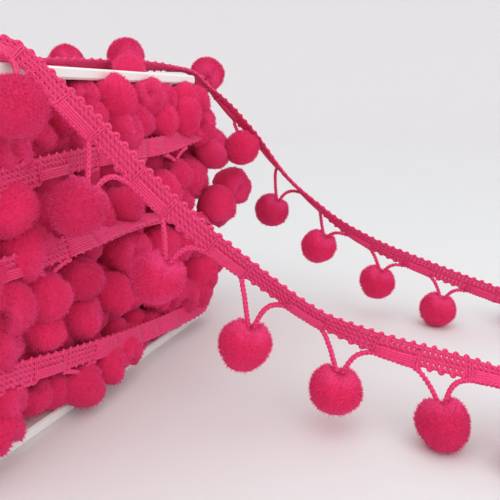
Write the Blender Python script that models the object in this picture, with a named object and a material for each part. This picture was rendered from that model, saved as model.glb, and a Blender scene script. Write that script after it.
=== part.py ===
"""Pompom fringe trim wound on a flat white reel, with one long loose end.

Frame: the origin is the centre of the reel's underside, +X runs along the reel's long side,
the front face looks towards -Y, and +Z is up. Lengths are in millimetres until a mesh is made.

The trim is a crocheted braid 10.5 mm wide. A thin cord leaves its lower edge in pairs of legs,
and each pair carries one pompom. Wound on the reel, its wraps run level, one row above another.
The loose end climbs over the back of the top flange, falls off the far corner, lies round
on the floor and comes back over the front edge, and its cut end lies on the top flange.
"""
import math

import bmesh
import bpy
from mathutils import Vector

MM = 0.001
GAP = 0.3                       # clearance between pieces that touch
CORD_CLEARANCE = 2 * GAP        # between a cord and its braid or pompom

# Reel
REEL_LENGTH = 204.0
REEL_DEPTH = 54.0
REEL_HEIGHT = 136.0
FLANGE_THICKNESS = 4.5
FLANGE_CORNER = 12.0
FLANGE_EDGE_ROUND = 0.8
FLANGE_SIDES = 6                # facets of each corner
CORE_LENGTH = 150.0
CORE_DEPTH = 16.0
CORE_CORNER = 7.0
CORE_SIDES = 4
CORE_CLEARANCE = 1.2            # between the core and the innermost turn

# Braid, cord and pompom
BRAID_WIDTH = 10.5
BRAID_THICKNESS = 1.8
SECTION_STEP = 6.0              # length of braid between two of its cross-sections
HEADING_REACH = 2.0             # the braid's direction is read between this far before and after a place
CORD_DIAMETER = 2.2
CORD_SIDES = 6
CORD_BOW = 0.12                 # share of a pompom's stand-off from the braid's face that the legs follow
LEG_SPREAD = 20.0               # between the two places where a pair of legs leaves the braid
LEG_DROP = 10.6                 # from the braid's edge to the pompom
LEG_START = 0.3                 # share of the spread for which a leg still runs along the braid's edge
LEG_STEPS = 4                   # straight pieces in each leg
POMPOM_DIAMETER = 20.0
POMPOM_SEGMENTS = 10
POMPOM_RINGS = 7
POMPOM_PITCH = 35.5             # along the braid
FIRST_POMPOM = 36.5             # from the start of the loose end
END_MARGIN = 2.0                # braid left beyond the last pair of legs, at least
PLUMB_SHARE = 0.6               # how far a free pompom turns from square to the braid to plumb
FLAT_SPOT = 0.3                 # how much of a pompom is flattened where it rests

# Wound trim: height and bulge of its rows, from the bottom up. A braid row draws in between
# two pompom rows. Bulge is how far a row stands out past the flange's edge.
ROWS = (
    # kind, height, bulge
    ("pompoms", 5.0, 3.0),
    ("pompoms", 15.0, 12.0),
    ("braid", 31.0, 5.0),
    ("pompoms", 50.0, 13.0),
    ("braid", 71.0, 5.0),
    ("pompoms", 87.0, 11.0),
    ("braid", 105.0, 3.5),
    ("pompoms", 121.0, 8.0),
    ("pompoms", 130.9, 2.0),
)
ROW_SLANT = 4.0                 # rows fall by this towards the front's far end and the back's near end
SLANT_FADE = 0.25               # share of the roll's height, at its top and bottom, where the slant fades
ROW_SMOOTHING = 2               # heights between one row and the next
WOUND_CORNER = 26.0             # corner radius of the turns at the flange's edge
WOUND_SIDES = 16                # facets along each quarter of a turn
TURN_WAVES = 22                 # pompoms that show in one row round the reel
TURN_WAVE = 1.2                 # how far they stand out from the row

# The loose end's route along the middle of the braid, from the roll to the cut end. LEAN is how
# far the braid's pompom edge is turned from hanging straight down towards the left of the way the
# route runs, and HANG is the same for the cords and their pompoms, both in degrees.
LOOSE_ROUTE = (
    # x, y, z, lean, hang
    (-34.0, 44.5, 102.0, 0.0, 32.0),      # off the back of the roll
    (-17.0, 44.0, 117.0, 6.0, 34.0),
    (-3.0, 40.0, 130.5, 25.0, 50.0),
    (8.0, 33.5, 138.6, 50.0, 75.0),       # over the top flange's back edge
    (21.0, 24.5, 140.2, 68.0, 88.0),
    (38.0, 15.0, 140.4, 64.0, 92.0),
    (54.0, 5.0, 140.4, 62.0, 92.0),       # half on edge across the flange
    (68.0, -3.5, 140.4, 62.0, 92.0),
    (80.0, -10.5, 140.2, 66.0, 93.0),
    (90.0, -16.0, 139.6, 82.0, 92.0),
    (99.0, -20.0, 138.8, 96.0, 90.0),     # off the far corner
    (105.5, -22.5, 135.2, 100.0, 84.0),
    (110.5, -25.5, 130.6, 96.0, 62.0),
    (115.0, -29.5, 125.6, 78.0, 34.0),
    (118.8, -35.0, 118.8, 60.0, 12.0),
    (121.8, -41.0, 111.4, 54.0, 2.0),
    (125.0, -50.0, 101.0, 58.0, 0.0),
    (127.3, -60.0, 88.2, 68.0, 0.0),
    (128.8, -70.0, 77.2, 70.0, 0.0),
    (129.5, -83.0, 66.4, 60.0, 0.0),
    (130.0, -99.0, 54.4, 42.0, 0.0),
    (131.0, -120.0, 43.6, 27.0, 0.0),
    (132.0, -142.0, 35.6, 18.0, 0.0),
    (133.0, -163.0, 28.8, 14.0, 4.0),
    (134.5, -185.0, 22.0, 16.0, 35.0),
    (136.5, -205.0, 13.6, 44.0, 70.0),
    (137.0, -223.0, 5.4, 76.0, 85.0),
    (134.0, -238.0, 1.2, 90.0, 90.0),     # flat on the floor
    (125.0, -252.0, 0.9, 90.0, 90.0),
    (110.0, -263.0, 0.9, 90.0, 90.0),
    (92.0, -268.0, 0.9, 90.0, 90.0),
    (73.0, -267.0, 0.9, 90.0, 90.0),
    (55.0, -260.0, 0.9, 90.0, 90.0),
    (42.0, -249.0, 1.2, 90.0, 90.0),
    (34.0, -236.0, 4.5, 80.0, 85.0),
    (29.0, -221.0, 12.0, 50.0, 68.0),
    (25.0, -205.0, 20.0, 70.0, 40.0),
    (20.4, -187.5, 26.0, 60.0, 18.0),
    (15.5, -167.0, 30.6, 26.0, 6.0),
    (11.0, -153.0, 34.4, 2.0, 3.0),
    (7.0, -139.0, 39.0, -14.0, 2.0),
    (2.2, -125.0, 45.4, -34.0, 2.0),
    (-2.2, -114.5, 52.8, -38.0, 2.0),
    (-6.0, -106.0, 59.8, -34.0, 2.0),
    (-9.8, -96.0, 67.8, -22.0, 2.0),
    (-14.0, -84.0, 77.8, -8.0, 2.0),
    (-18.0, -73.5, 88.0, 0.0, 2.0),
    (-21.0, -64.0, 98.0, 5.0, 3.0),
    (-25.0, -51.8, 112.0, 14.0, 4.0),
    (-28.2, -44.6, 120.2, 25.0, 8.0),
    (-31.2, -38.6, 127.8, 35.0, 14.0),
    (-34.8, -33.2, 135.2, 42.0, 25.0),    # over the top flange's front edge
    (-39.0, -27.0, 141.0, 45.0, 45.0),
    (-44.5, -17.0, 142.2, 50.0, 70.0),
    (-52.0, -7.5, 140.8, 60.0, 85.0),
    (-62.0, 0.5, 138.8, 78.0, 90.0),
    (-74.0, 4.5, 137.6, 90.0, 90.0),      # the cut end lies flat
    (-87.0, 6.0, 137.4, 90.0, 90.0),
)

# Pompoms that lie against something: a shift of the pompom from where its cords alone would hold it.
POMPOM_SHIFTS = {
    # number along the loose end: (x, y, z)
    3: (6.0, 8.0, 3.0),
    4: (-1.3, 3.0, 0.0),
    5: (9.5, -13.0, 15.0),
    6: (-9.0, -12.0, 11.0),
    8: (0.0, 0.0, 5.5),
    9: (0.0, 0.0, 6.0),
    11: (3.0, -13.0, 0.0),
    17: (-5.0, 0.0, 0.0),
    18: (-2.7, -4.7, 0.0),
    19: (0.7, -1.8, 0.7),
    20: (0.7, -1.8, -1.8),
    21: (0.0, 0.0, 3.0),
    22: (-9.0, -6.5, 4.5),
    23: (-10.0, -16.5, 9.5),
    24: (-12.0, 8.0, 0.0),
}

COLOURS = {
    # finish: base colour, roughness
    "trim": ((0.62, 0.035, 0.14, 1.0), 0.9),
    "pompom": ((0.66, 0.025, 0.11, 1.0), 1.0),
    "reel": ((0.82, 0.82, 0.80, 1.0), 0.45),
}


def clear_scene():
    for obj in list(bpy.data.objects):
        bpy.data.objects.remove(obj, do_unlink=True)


def finish(name):
    """The material of one finish, made once."""
    material = bpy.data.materials.get(name)
    if material is None:
        colour, roughness = COLOURS[name]
        material = bpy.data.materials.new(name)
        material.use_nodes = True
        shader = material.node_tree.nodes["Principled BSDF"]
        shader.inputs["Base Color"].default_value = colour
        shader.inputs["Roughness"].default_value = roughness
        shader.inputs["Metallic"].default_value = 0.0
    return material


def add_object(name, mesh, material_name):
    mesh.materials.append(finish(material_name))
    obj = bpy.data.objects.new(name, mesh)
    bpy.context.scene.collection.objects.link(obj)
    return obj


def mesh_from_rings(name, rings, capped=True):
    """A closed skin over rings of equal length, in millimetres, with a flat cap on each end."""
    bm = bmesh.new()
    loops = [[bm.verts.new(Vector(point) * MM) for point in ring] for ring in rings]
    count = len(loops[0])
    for lower, upper in zip(loops, loops[1:]):
        for i in range(count):
            j = (i + 1) % count
            bm.faces.new((lower[i], lower[j], upper[j], upper[i]))
    if capped:
        bm.faces.new(list(reversed(loops[0])))
        bm.faces.new(loops[-1])
    else:
        for i in range(count):
            j = (i + 1) % count
            bm.faces.new((loops[-1][i], loops[-1][j], loops[0][j], loops[0][i]))
    bmesh.ops.recalc_face_normals(bm, faces=bm.faces)
    mesh = bpy.data.meshes.new(name)
    bm.to_mesh(mesh)
    bm.free()
    return mesh


# ---------------------------------------------------------------- reel

def rounded_rectangle(length, depth, corner, sides):
    """Points round a rectangle with arcs for corners, seen from above, anticlockwise."""
    points = []
    centres = ((1, 1, 0), (-1, 1, 90), (-1, -1, 180), (1, -1, 270))
    for side_x, side_y, start in centres:
        cx = side_x * (length / 2 - corner)
        cy = side_y * (depth / 2 - corner)
        for step in range(sides + 1):
            angle = math.radians(start + 90 * step / sides)
            points.append((cx + corner * math.cos(angle), cy + corner * math.sin(angle)))
    return points


def flange(name, bottom):
    rings = []
    inset_heights = (
        (FLANGE_EDGE_ROUND, 0.0),
        (0.0, FLANGE_EDGE_ROUND),
        (0.0, FLANGE_THICKNESS - FLANGE_EDGE_ROUND),
        (FLANGE_EDGE_ROUND, FLANGE_THICKNESS),
    )
    for inset, height in inset_heights:
        outline = rounded_rectangle(REEL_LENGTH - 2 * inset, REEL_DEPTH - 2 * inset,
                                    FLANGE_CORNER - inset, FLANGE_SIDES)
        rings.append([(x, y, bottom + height) for x, y in outline])
    add_object(name, mesh_from_rings(name, rings), "reel")


def reel():
    flange("reel_flange_bottom", 0.0)
    flange("reel_flange_top", REEL_HEIGHT - FLANGE_THICKNESS)
    outline = rounded_rectangle(CORE_LENGTH, CORE_DEPTH, CORE_CORNER, CORE_SIDES)
    heights = (FLANGE_THICKNESS + GAP, REEL_HEIGHT - FLANGE_THICKNESS - GAP)
    rings = [[(x, y, z) for x, y in outline] for z in heights]
    add_object("reel_core", mesh_from_rings("reel_core", rings), "reel")


# ---------------------------------------------------------------- wound trim

def even_turn(length, depth, corner, count):
    """Points at even spacing round a rounded rectangle, with the outward direction at each."""
    straight_x = length - 2 * corner
    straight_y = depth - 2 * corner
    arc = math.pi * corner / 2
    around = 2 * straight_x + 2 * straight_y + 4 * arc
    points = []
    for i in range(count):
        run = around * i / count
        centre = (length / 2 - corner, -straight_y / 2)
        heading = 90.0
        for piece in (straight_y, arc, straight_x, arc, straight_y, arc, straight_x, arc):
            turning = piece == arc
            if run < piece:
                break
            run -= piece
            if turning:
                heading += 90.0
            else:
                along = math.radians(heading)
                centre = (centre[0] + piece * math.cos(along), centre[1] + piece * math.sin(along))
        along = math.radians(heading + (90.0 * run / arc if turning else 0.0))
        outward = (math.sin(along), -math.cos(along))
        slide = 0.0 if turning else run
        x = centre[0] + slide * math.cos(along) + corner * outward[0]
        y = centre[1] + slide * math.sin(along) + corner * outward[1]
        points.append((x, y, outward))
    return points


def smooth_step(t):
    return t * t * (3.0 - 2.0 * t)


def row_profile():
    """(height, bulge, share of the turn's waves) from the bottom of the roll to its top."""
    profile = []
    for (kind, low, low_bulge), (next_kind, high, high_bulge) in zip(ROWS, ROWS[1:]):
        for step in range(ROW_SMOOTHING):
            t = step / ROW_SMOOTHING
            blend = smooth_step(t)
            wave = (1.0 - blend) * (kind == "pompoms") + blend * (next_kind == "pompoms")
            profile.append((low + (high - low) * t, low_bulge + (high_bulge - low_bulge) * blend, wave))
    profile.append((ROWS[-1][1], ROWS[-1][2], 1.0))
    return profile


def wound_trim():
    """One ring round the core: rows of pompoms that bulge, and braids that draw in between."""
    count = 4 * WOUND_SIDES
    turn = even_turn(REEL_LENGTH, REEL_DEPTH, WOUND_CORNER, count)
    bottom, top = ROWS[0][1], ROWS[-1][1]
    rings = []
    for height, bulge, wave in row_profile():
        ring = []
        free = min(height - bottom, top - height) / (top - bottom) / SLANT_FADE
        for i, (x, y, outward) in enumerate(turn):
            ripple = TURN_WAVE * wave * math.cos(2 * math.pi * TURN_WAVES * i / count)
            reach = bulge + ripple
            slant = ROW_SLANT * min(1.0, free) * (2 * x / REEL_LENGTH) * (2 * y / REEL_DEPTH)
            ring.append((x + outward[0] * reach, y + outward[1] * reach, height + slant))
        rings.append(ring)
    inner = even_turn(CORE_LENGTH + 2 * CORE_CLEARANCE, CORE_DEPTH + 2 * CORE_CLEARANCE,
                      CORE_CORNER, count)
    rings.append([(x, y, top) for x, y, _ in inner])
    rings.append([(x, y, bottom) for x, y, _ in inner])
    add_object("wound_trim", mesh_from_rings("wound_trim", rings, capped=False), "pompom")


# ---------------------------------------------------------------- loose end

def curve_point(rows, i, t):
    """A point of the smooth curve through the rows, between row i and row i + 1."""
    last = len(rows) - 1
    a, b, c, d = (rows[min(max(k, 0), last)] for k in (i - 1, i, i + 1, i + 2))
    return [0.5 * (2 * q + (r - p) * t + (2 * p - 5 * q + 4 * r - s) * t * t
                   + (3 * q - p - 3 * r + s) * t * t * t)
            for p, q, r, s in zip(a, b, c, d)]


class LooseRoute:
    """The loose end's middle line by its length, with its directions at each place."""

    FINE = 24

    def __init__(self, rows):
        self.samples = [curve_point(rows, i, k / self.FINE)
                        for i in range(len(rows) - 1) for k in range(self.FINE)]
        self.samples.append(list(rows[-1]))
        self.lengths = [0.0]
        for a, b in zip(self.samples, self.samples[1:]):
            self.lengths.append(self.lengths[-1] + math.dist(a[:3], b[:3]))
        self.length = self.lengths[-1]

    def row(self, along):
        along = min(max(along, 0.0), self.length)
        low, high = 0, len(self.lengths) - 1
        while high - low > 1:
            middle = (low + high) // 2
            if self.lengths[middle] <= along:
                low = middle
            else:
                high = middle
        t = (along - self.lengths[low]) / (self.lengths[high] - self.lengths[low])
        return [p + (q - p) * t for p, q in zip(self.samples[low], self.samples[high])]

    def place(self, along):
        """Middle of the braid, and its directions: along, down, left, and the two turned ones."""
        row = self.row(along)
        before, after = (self.row(along + step)[:3] for step in (-HEADING_REACH, HEADING_REACH))
        forward = (Vector(after) - Vector(before)).normalized()
        down = Vector((0.0, 0.0, -1.0))
        down = (down - forward * down.dot(forward)).normalized()
        left = forward.cross(down)
        lean, hang = math.radians(row[3]), math.radians(row[4])
        across = down * math.cos(lean) + left * math.sin(lean)
        hanging = down * math.cos(hang) + left * math.sin(hang)
        plumb = Vector((0.0, 0.0, -1.0)) * math.cos(hang) ** 2 * PLUMB_SHARE
        hanging = (hanging + plumb).normalized()
        middle = Vector(row[:3])
        face = forward.cross(across)
        reach = abs(across.z) * BRAID_WIDTH / 2 + abs(face.z) * BRAID_THICKNESS / 2
        middle.z = max(middle.z, reach)
        return middle, forward, across, face, hanging


def loose_braid(route):
    count = math.ceil(route.length / SECTION_STEP)
    rings = []
    for i in range(count + 1):
        middle, _, across, face, _ = route.place(route.length * i / count)
        wide, thick = across * BRAID_WIDTH / 2, face * BRAID_THICKNESS / 2
        rings.append([middle - wide - thick, middle + wide - thick,
                      middle + wide + thick, middle - wide + thick])
    add_object("loose_braid", mesh_from_rings("loose_braid", rings), "trim")


def at_rest(point, radius, pressed=0.0):
    """The point, lifted where something of that radius would sink into the floor or the flange."""
    over_flange = abs(point.x) < REEL_LENGTH / 2 + GAP and abs(point.y) < REEL_DEPTH / 2 + GAP
    lowest = radius - pressed
    if over_flange and point.z > REEL_HEIGHT - FLANGE_THICKNESS:
        lowest = REEL_HEIGHT + GAP + radius
    return Vector((point.x, point.y, max(point.z, lowest)))


def outside(point, centre):
    """The point, pushed out to where the cord touches the pompom's surface."""
    away = point - centre
    touching = POMPOM_DIAMETER / 2 + CORD_DIAMETER / 2 + CORD_CLEARANCE
    return centre + away.normalized() * max(away.length, touching)


def pompom_centre(route, along, number):
    middle, _, across, _, hanging = route.place(along)
    edge = middle + across * BRAID_WIDTH / 2
    centre = edge + hanging * (LEG_DROP + POMPOM_DIAMETER / 2)
    centre += Vector(POMPOM_SHIFTS.get(number, (0.0, 0.0, 0.0)))
    return at_rest(centre, POMPOM_DIAMETER / 2, FLAT_SPOT)


def pompom(name, centre):
    """A ball, cut flat where it rests on the floor."""
    bm = bmesh.new()
    bmesh.ops.create_uvsphere(bm, u_segments=POMPOM_SEGMENTS, v_segments=POMPOM_RINGS,
                              radius=POMPOM_DIAMETER / 2 * MM)
    bmesh.ops.translate(bm, verts=bm.verts, vec=centre * MM)
    if centre.z < POMPOM_DIAMETER / 2:
        everything = bm.verts[:] + bm.edges[:] + bm.faces[:]
        cut = bmesh.ops.bisect_plane(bm, geom=everything, plane_co=(0, 0, 0), plane_no=(0, 0, -1),
                                     clear_outer=True)
        rim = [item for item in cut["geom_cut"] if isinstance(item, bmesh.types.BMEdge)]
        bmesh.ops.edgeloop_fill(bm, edges=rim)
        bmesh.ops.recalc_face_normals(bm, faces=bm.faces)
    mesh = bpy.data.meshes.new(name)
    bm.to_mesh(mesh)
    bm.free()
    mesh.shade_smooth()
    add_object(name, mesh, "pompom")


def bezier(a, b, c, t):
    return a * (1 - t) ** 2 + b * 2 * t * (1 - t) + c * t * t


def leg(root, foot):
    """Points of one leg from its root on the braid's edge to its foot on the pompom."""
    start, way = root
    bend = start + way * LEG_SPREAD * LEG_START
    return [bezier(start, bend, foot, k / LEG_STEPS) for k in range(LEG_STEPS + 1)]


def tube(path, normal):
    """Rings of a cord along a path that stays near the plane square to the normal."""
    rings = []
    for i, point in enumerate(path):
        way = (path[min(i + 1, len(path) - 1)] - path[max(i - 1, 0)]).normalized()
        side = (normal - way * normal.dot(way)).normalized()
        other = way.cross(side)
        angles = [math.tau * k / CORD_SIDES for k in range(CORD_SIDES)]
        rings.append([point + (side * math.cos(angle) + other * math.sin(angle)) * CORD_DIAMETER / 2
                      for angle in angles])
    return rings


def hanging_cord(name, route, along, centre):
    """Both legs of one pair as a single bent tube, from edge to pompom and back to the edge."""
    middle, forward, across, face, _ = route.place(along)
    stand_off = BRAID_WIDTH / 2 + CORD_DIAMETER / 2 + CORD_CLEARANCE
    bow = face * (centre - middle).dot(face) * CORD_BOW
    towards = (middle + across * stand_off - centre).normalized()
    foot = centre + towards * (POMPOM_DIAMETER / 2 + CORD_DIAMETER / 2 + CORD_CLEARANCE)
    roots = []
    for side in (-1, 1):
        root_middle, root_forward, root_across, _, _ = route.place(along + side * LEG_SPREAD / 2)
        roots.append((root_middle + root_across * stand_off, -side * root_forward))
    path = leg(roots[0], foot) + leg(roots[1], foot)[-2::-1]
    path = [at_rest(outside(point + bow, centre), CORD_DIAMETER / 2) for point in path]
    normal = forward.cross(towards).normalized()
    add_object(name, mesh_from_rings(name, tube(path, normal)), "trim")


def loose_end():
    route = LooseRoute(LOOSE_ROUTE)
    loose_braid(route)
    along = FIRST_POMPOM
    number = 1
    while along < route.length - LEG_SPREAD / 2 - END_MARGIN:
        centre = pompom_centre(route, along, number)
        pompom(f"pompom_{number:02d}", centre)
        hanging_cord(f"pompom_cord_{number:02d}", route, along, centre)
        along += POMPOM_PITCH
        number += 1


def main():
    clear_scene()
    reel()
    wound_trim()
    loose_end()


main()
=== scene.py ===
"""Looks of a pompom fringe trim wound on a flat reel, with one long loose end.

The frame's own measure is metres. The sizes below are in millimetres, and MM turns them into metres.
"""
import math
import random

import bmesh
import bpy
import numpy as np
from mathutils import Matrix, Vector


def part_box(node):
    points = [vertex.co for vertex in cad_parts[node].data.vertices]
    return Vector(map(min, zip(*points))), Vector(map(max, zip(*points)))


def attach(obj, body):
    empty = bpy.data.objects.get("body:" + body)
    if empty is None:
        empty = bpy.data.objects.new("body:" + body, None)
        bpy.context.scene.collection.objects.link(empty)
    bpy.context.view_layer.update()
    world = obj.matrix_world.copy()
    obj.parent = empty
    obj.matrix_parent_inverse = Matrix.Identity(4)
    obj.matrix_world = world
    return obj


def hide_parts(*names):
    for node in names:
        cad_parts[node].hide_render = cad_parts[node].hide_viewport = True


bl_info = {
    "name": "Pompom Fringe on a Reel",
    "version": (1, 0, 0),
    "blender": (4, 5, 0),
    "location": "3D View > Sidebar > Pompom Fringe",
    "description": "Makes the braid, cords, pompoms and reel of a pompom fringe trim",
    "category": "Add Mesh",
}

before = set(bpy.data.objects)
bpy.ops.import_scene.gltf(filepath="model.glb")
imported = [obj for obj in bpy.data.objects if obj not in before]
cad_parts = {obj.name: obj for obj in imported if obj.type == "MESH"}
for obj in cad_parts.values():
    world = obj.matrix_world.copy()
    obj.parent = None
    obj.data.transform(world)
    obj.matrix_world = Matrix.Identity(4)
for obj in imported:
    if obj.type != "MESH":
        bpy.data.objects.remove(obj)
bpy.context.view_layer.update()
TOP_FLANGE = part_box("reel_flange_top")
BOTTOM_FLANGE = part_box("reel_flange_bottom")
BODY = "root"

MM = 0.001
REEL_LENGTH = (TOP_FLANGE[1].x - TOP_FLANGE[0].x) / MM
REEL_DEPTH = (TOP_FLANGE[1].y - TOP_FLANGE[0].y) / MM
REEL_TOP = TOP_FLANGE[1].z / MM
UNDER_TOP_FLANGE = TOP_FLANGE[0].z / MM
OVER_BOTTOM_FLANGE = BOTTOM_FLANGE[1].z / MM

# ------------------------------------------------------------------ routes, as in the frame

LEG_SPREAD = 20.0               # between the two places where a pair of legs leaves the braid
LEG_DROP = 10.6                 # from the braid's edge to the pompom
LEG_START = 0.3                 # share of the spread for which a leg still runs along the braid's edge
LEG_SLACK = 0.28                # how much of that share goes from the higher leg to the lower one
LEG_STEPS = 7                   # points along each leg
LEG_INSET = 0.4                 # of a leg's start from the braid's edge
LEG_PART = 0.55                 # share of the cord's thickness by which a leg stands off its pair's middle
CORD_INSET = 0.9                # of the cord that the braid carries, from the braid's edge
POMPOM_PITCH = 35.5             # along the braid
FIRST_POMPOM = 36.5             # from the start of the loose end
END_MARGIN = 2.0                # braid left beyond the last pair of legs, at least
PLUMB_SHARE = 0.6               # how far a free pompom turns from square to the braid to plumb
FLAT_SPOT = 0.3                 # how much of a pompom is flattened where it rests
CORD_BOW = 0.12                 # share of a pompom's stand-off from the braid's face that the legs follow
REST_GAP = 0.3                  # between what lies on the flange and the flange
FLANGE_GAP = 0.15               # between a wound pompom and a flange that it presses on

# The loose end's route along the middle of the braid, from the roll to the cut end. LEAN is how
# far the braid's pompom edge is turned from hanging straight down towards the left of the way the
# route runs, and HANG is the same for the cords and their pompoms, both in degrees.
LOOSE_ROUTE = (
    # x, y, z, lean, hang
    (-34.0, 44.5, 102.0, 0.0, 32.0),      # off the back of the roll
    (-17.0, 44.0, 117.0, 6.0, 34.0),
    (-3.0, 40.0, 130.5, 25.0, 50.0),
    (8.0, 33.5, 138.6, 50.0, 75.0),       # over the top flange's back edge
    (21.0, 24.5, 140.2, 68.0, 88.0),
    (38.0, 15.0, 140.4, 64.0, 92.0),
    (54.0, 5.0, 140.4, 62.0, 92.0),       # half on edge across the flange
    (68.0, -3.5, 140.4, 62.0, 92.0),
    (80.0, -10.5, 140.2, 66.0, 93.0),
    (90.0, -16.0, 139.6, 82.0, 92.0),
    (99.0, -20.0, 138.8, 96.0, 90.0),     # off the far corner
    (105.5, -22.5, 135.2, 100.0, 84.0),
    (110.5, -25.5, 130.6, 96.0, 62.0),
    (115.0, -29.5, 125.6, 78.0, 34.0),
    (118.8, -35.0, 118.8, 60.0, 12.0),
    (121.8, -41.0, 111.4, 54.0, 2.0),
    (125.0, -50.0, 101.0, 58.0, 0.0),
    (127.3, -60.0, 88.2, 68.0, 0.0),
    (128.8, -70.0, 77.2, 70.0, 0.0),
    (129.5, -83.0, 66.4, 60.0, 0.0),
    (130.0, -99.0, 54.4, 42.0, 0.0),
    (131.0, -120.0, 43.6, 27.0, 0.0),
    (132.0, -142.0, 35.6, 18.0, 0.0),
    (133.0, -163.0, 28.8, 14.0, 4.0),
    (134.5, -185.0, 22.0, 16.0, 35.0),
    (136.5, -205.0, 13.6, 44.0, 70.0),
    (137.0, -223.0, 5.4, 76.0, 85.0),
    (134.0, -238.0, 1.2, 90.0, 90.0),     # flat on the floor
    (125.0, -252.0, 0.9, 90.0, 90.0),
    (110.0, -263.0, 0.9, 90.0, 90.0),
    (92.0, -268.0, 0.9, 90.0, 90.0),
    (73.0, -267.0, 0.9, 90.0, 90.0),
    (55.0, -260.0, 0.9, 90.0, 90.0),
    (42.0, -249.0, 1.2, 90.0, 90.0),
    (34.0, -236.0, 4.5, 80.0, 85.0),
    (29.0, -221.0, 12.0, 50.0, 68.0),
    (25.0, -205.0, 20.0, 70.0, 40.0),
    (20.4, -187.5, 26.0, 60.0, 18.0),
    (15.5, -167.0, 30.6, 26.0, 6.0),
    (11.0, -153.0, 34.4, 2.0, 3.0),
    (7.0, -139.0, 39.0, -14.0, 2.0),
    (2.2, -125.0, 45.4, -34.0, 2.0),
    (-2.2, -114.5, 52.8, -38.0, 2.0),
    (-6.0, -106.0, 59.8, -34.0, 2.0),
    (-9.8, -96.0, 67.8, -22.0, 2.0),
    (-14.0, -84.0, 77.8, -8.0, 2.0),
    (-18.0, -73.5, 88.0, 0.0, 2.0),
    (-21.0, -64.0, 98.0, 5.0, 3.0),
    (-25.0, -51.8, 112.0, 14.0, 4.0),
    (-28.2, -44.6, 120.2, 25.0, 8.0),
    (-31.2, -38.6, 127.8, 35.0, 14.0),
    (-34.8, -33.2, 135.2, 42.0, 25.0),    # over the top flange's front edge
    (-39.0, -27.0, 141.0, 45.0, 45.0),
    (-44.5, -17.0, 142.2, 50.0, 70.0),
    (-52.0, -7.5, 140.8, 60.0, 85.0),
    (-62.0, 0.5, 138.8, 78.0, 90.0),
    (-74.0, 4.5, 137.6, 90.0, 90.0),      # the cut end lies flat
    (-87.0, 6.0, 137.4, 90.0, 90.0),
)

# Pompoms that lie against something: a shift of the pompom from where its cords alone would hold it.
POMPOM_SHIFTS = {
    # number along the loose end: (x, y, z)
    3: (6.0, 8.0, 3.0),
    4: (-1.3, 3.0, 0.0),
    5: (9.5, -13.0, 15.0),
    6: (-9.0, -12.0, 11.0),
    8: (0.0, 0.0, 5.5),
    9: (0.0, 0.0, 6.0),
    11: (3.0, -13.0, 0.0),
    17: (-5.0, 0.0, 0.0),
    18: (-2.7, -4.7, 0.0),
    19: (0.7, -1.8, 0.7),
    20: (0.7, -1.8, -1.8),
    21: (0.0, 0.0, 3.0),
    22: (-9.0, -6.5, 4.5),
    23: (-10.0, -16.5, 9.5),
    24: (-12.0, 8.0, 0.0),
}

# The three turns of braid that show between the wound pompoms, from the bottom up. Each runs along
# the front towards -X and along the back towards +X. STAND-OUT is past the flange's edge, and LEAN
# is as on the loose end's route.
BRAID_TURNS = (
    (
        # x, stand-out, height, lean: along the front
        ((88.0, 3.5, 11.5, 42.0), (48.0, 4.5, 14.0, 26.0), (8.0, 5.5, 20.0, 6.0),
         (-28.0, 6.5, 27.0, 0.0), (-62.0, 6.0, 33.5, 5.0)),
        # and along the back
        ((-62.0, 5.0, 38.0, -4.0), (5.0, 4.0, 45.0, 8.0), (72.0, 5.5, 51.0, -5.0)),
    ),
    (
        ((88.0, 3.0, 61.0, 50.0), (48.0, 4.0, 68.5, 72.0), (12.0, 5.5, 71.0, 66.0),
         (-28.0, 6.5, 70.6, 12.0), (-62.0, 6.0, 70.2, 0.0)),
        ((-62.0, 5.0, 74.0, 5.0), (5.0, 3.5, 83.0, -8.0), (72.0, 5.0, 93.0, 6.0)),
    ),
    (
        ((92.0, 2.0, 105.5, 62.0), (50.0, 5.0, 103.0, 8.0), (14.0, 4.5, 102.5, 0.0),
         (-28.0, 6.5, 101.4, -4.0), (-62.0, 6.0, 98.6, 4.0)),
        (),
    ),
)
TURN_END_STAND_OUT = 5.0                           # of the turns round the reel's ends
FIRST_TURN_START = ((88.0, 4.0, 14.0), (101.0, -2.0, 12.5))   # x, y, z, from between the pompoms
LAST_TURN_JOIN = (                                 # from the last turn to the loose end
    # x, y, z
    (-64.0, 38.5, 99.4),
    (-36.5, 44.4, 100.8),
)

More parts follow.
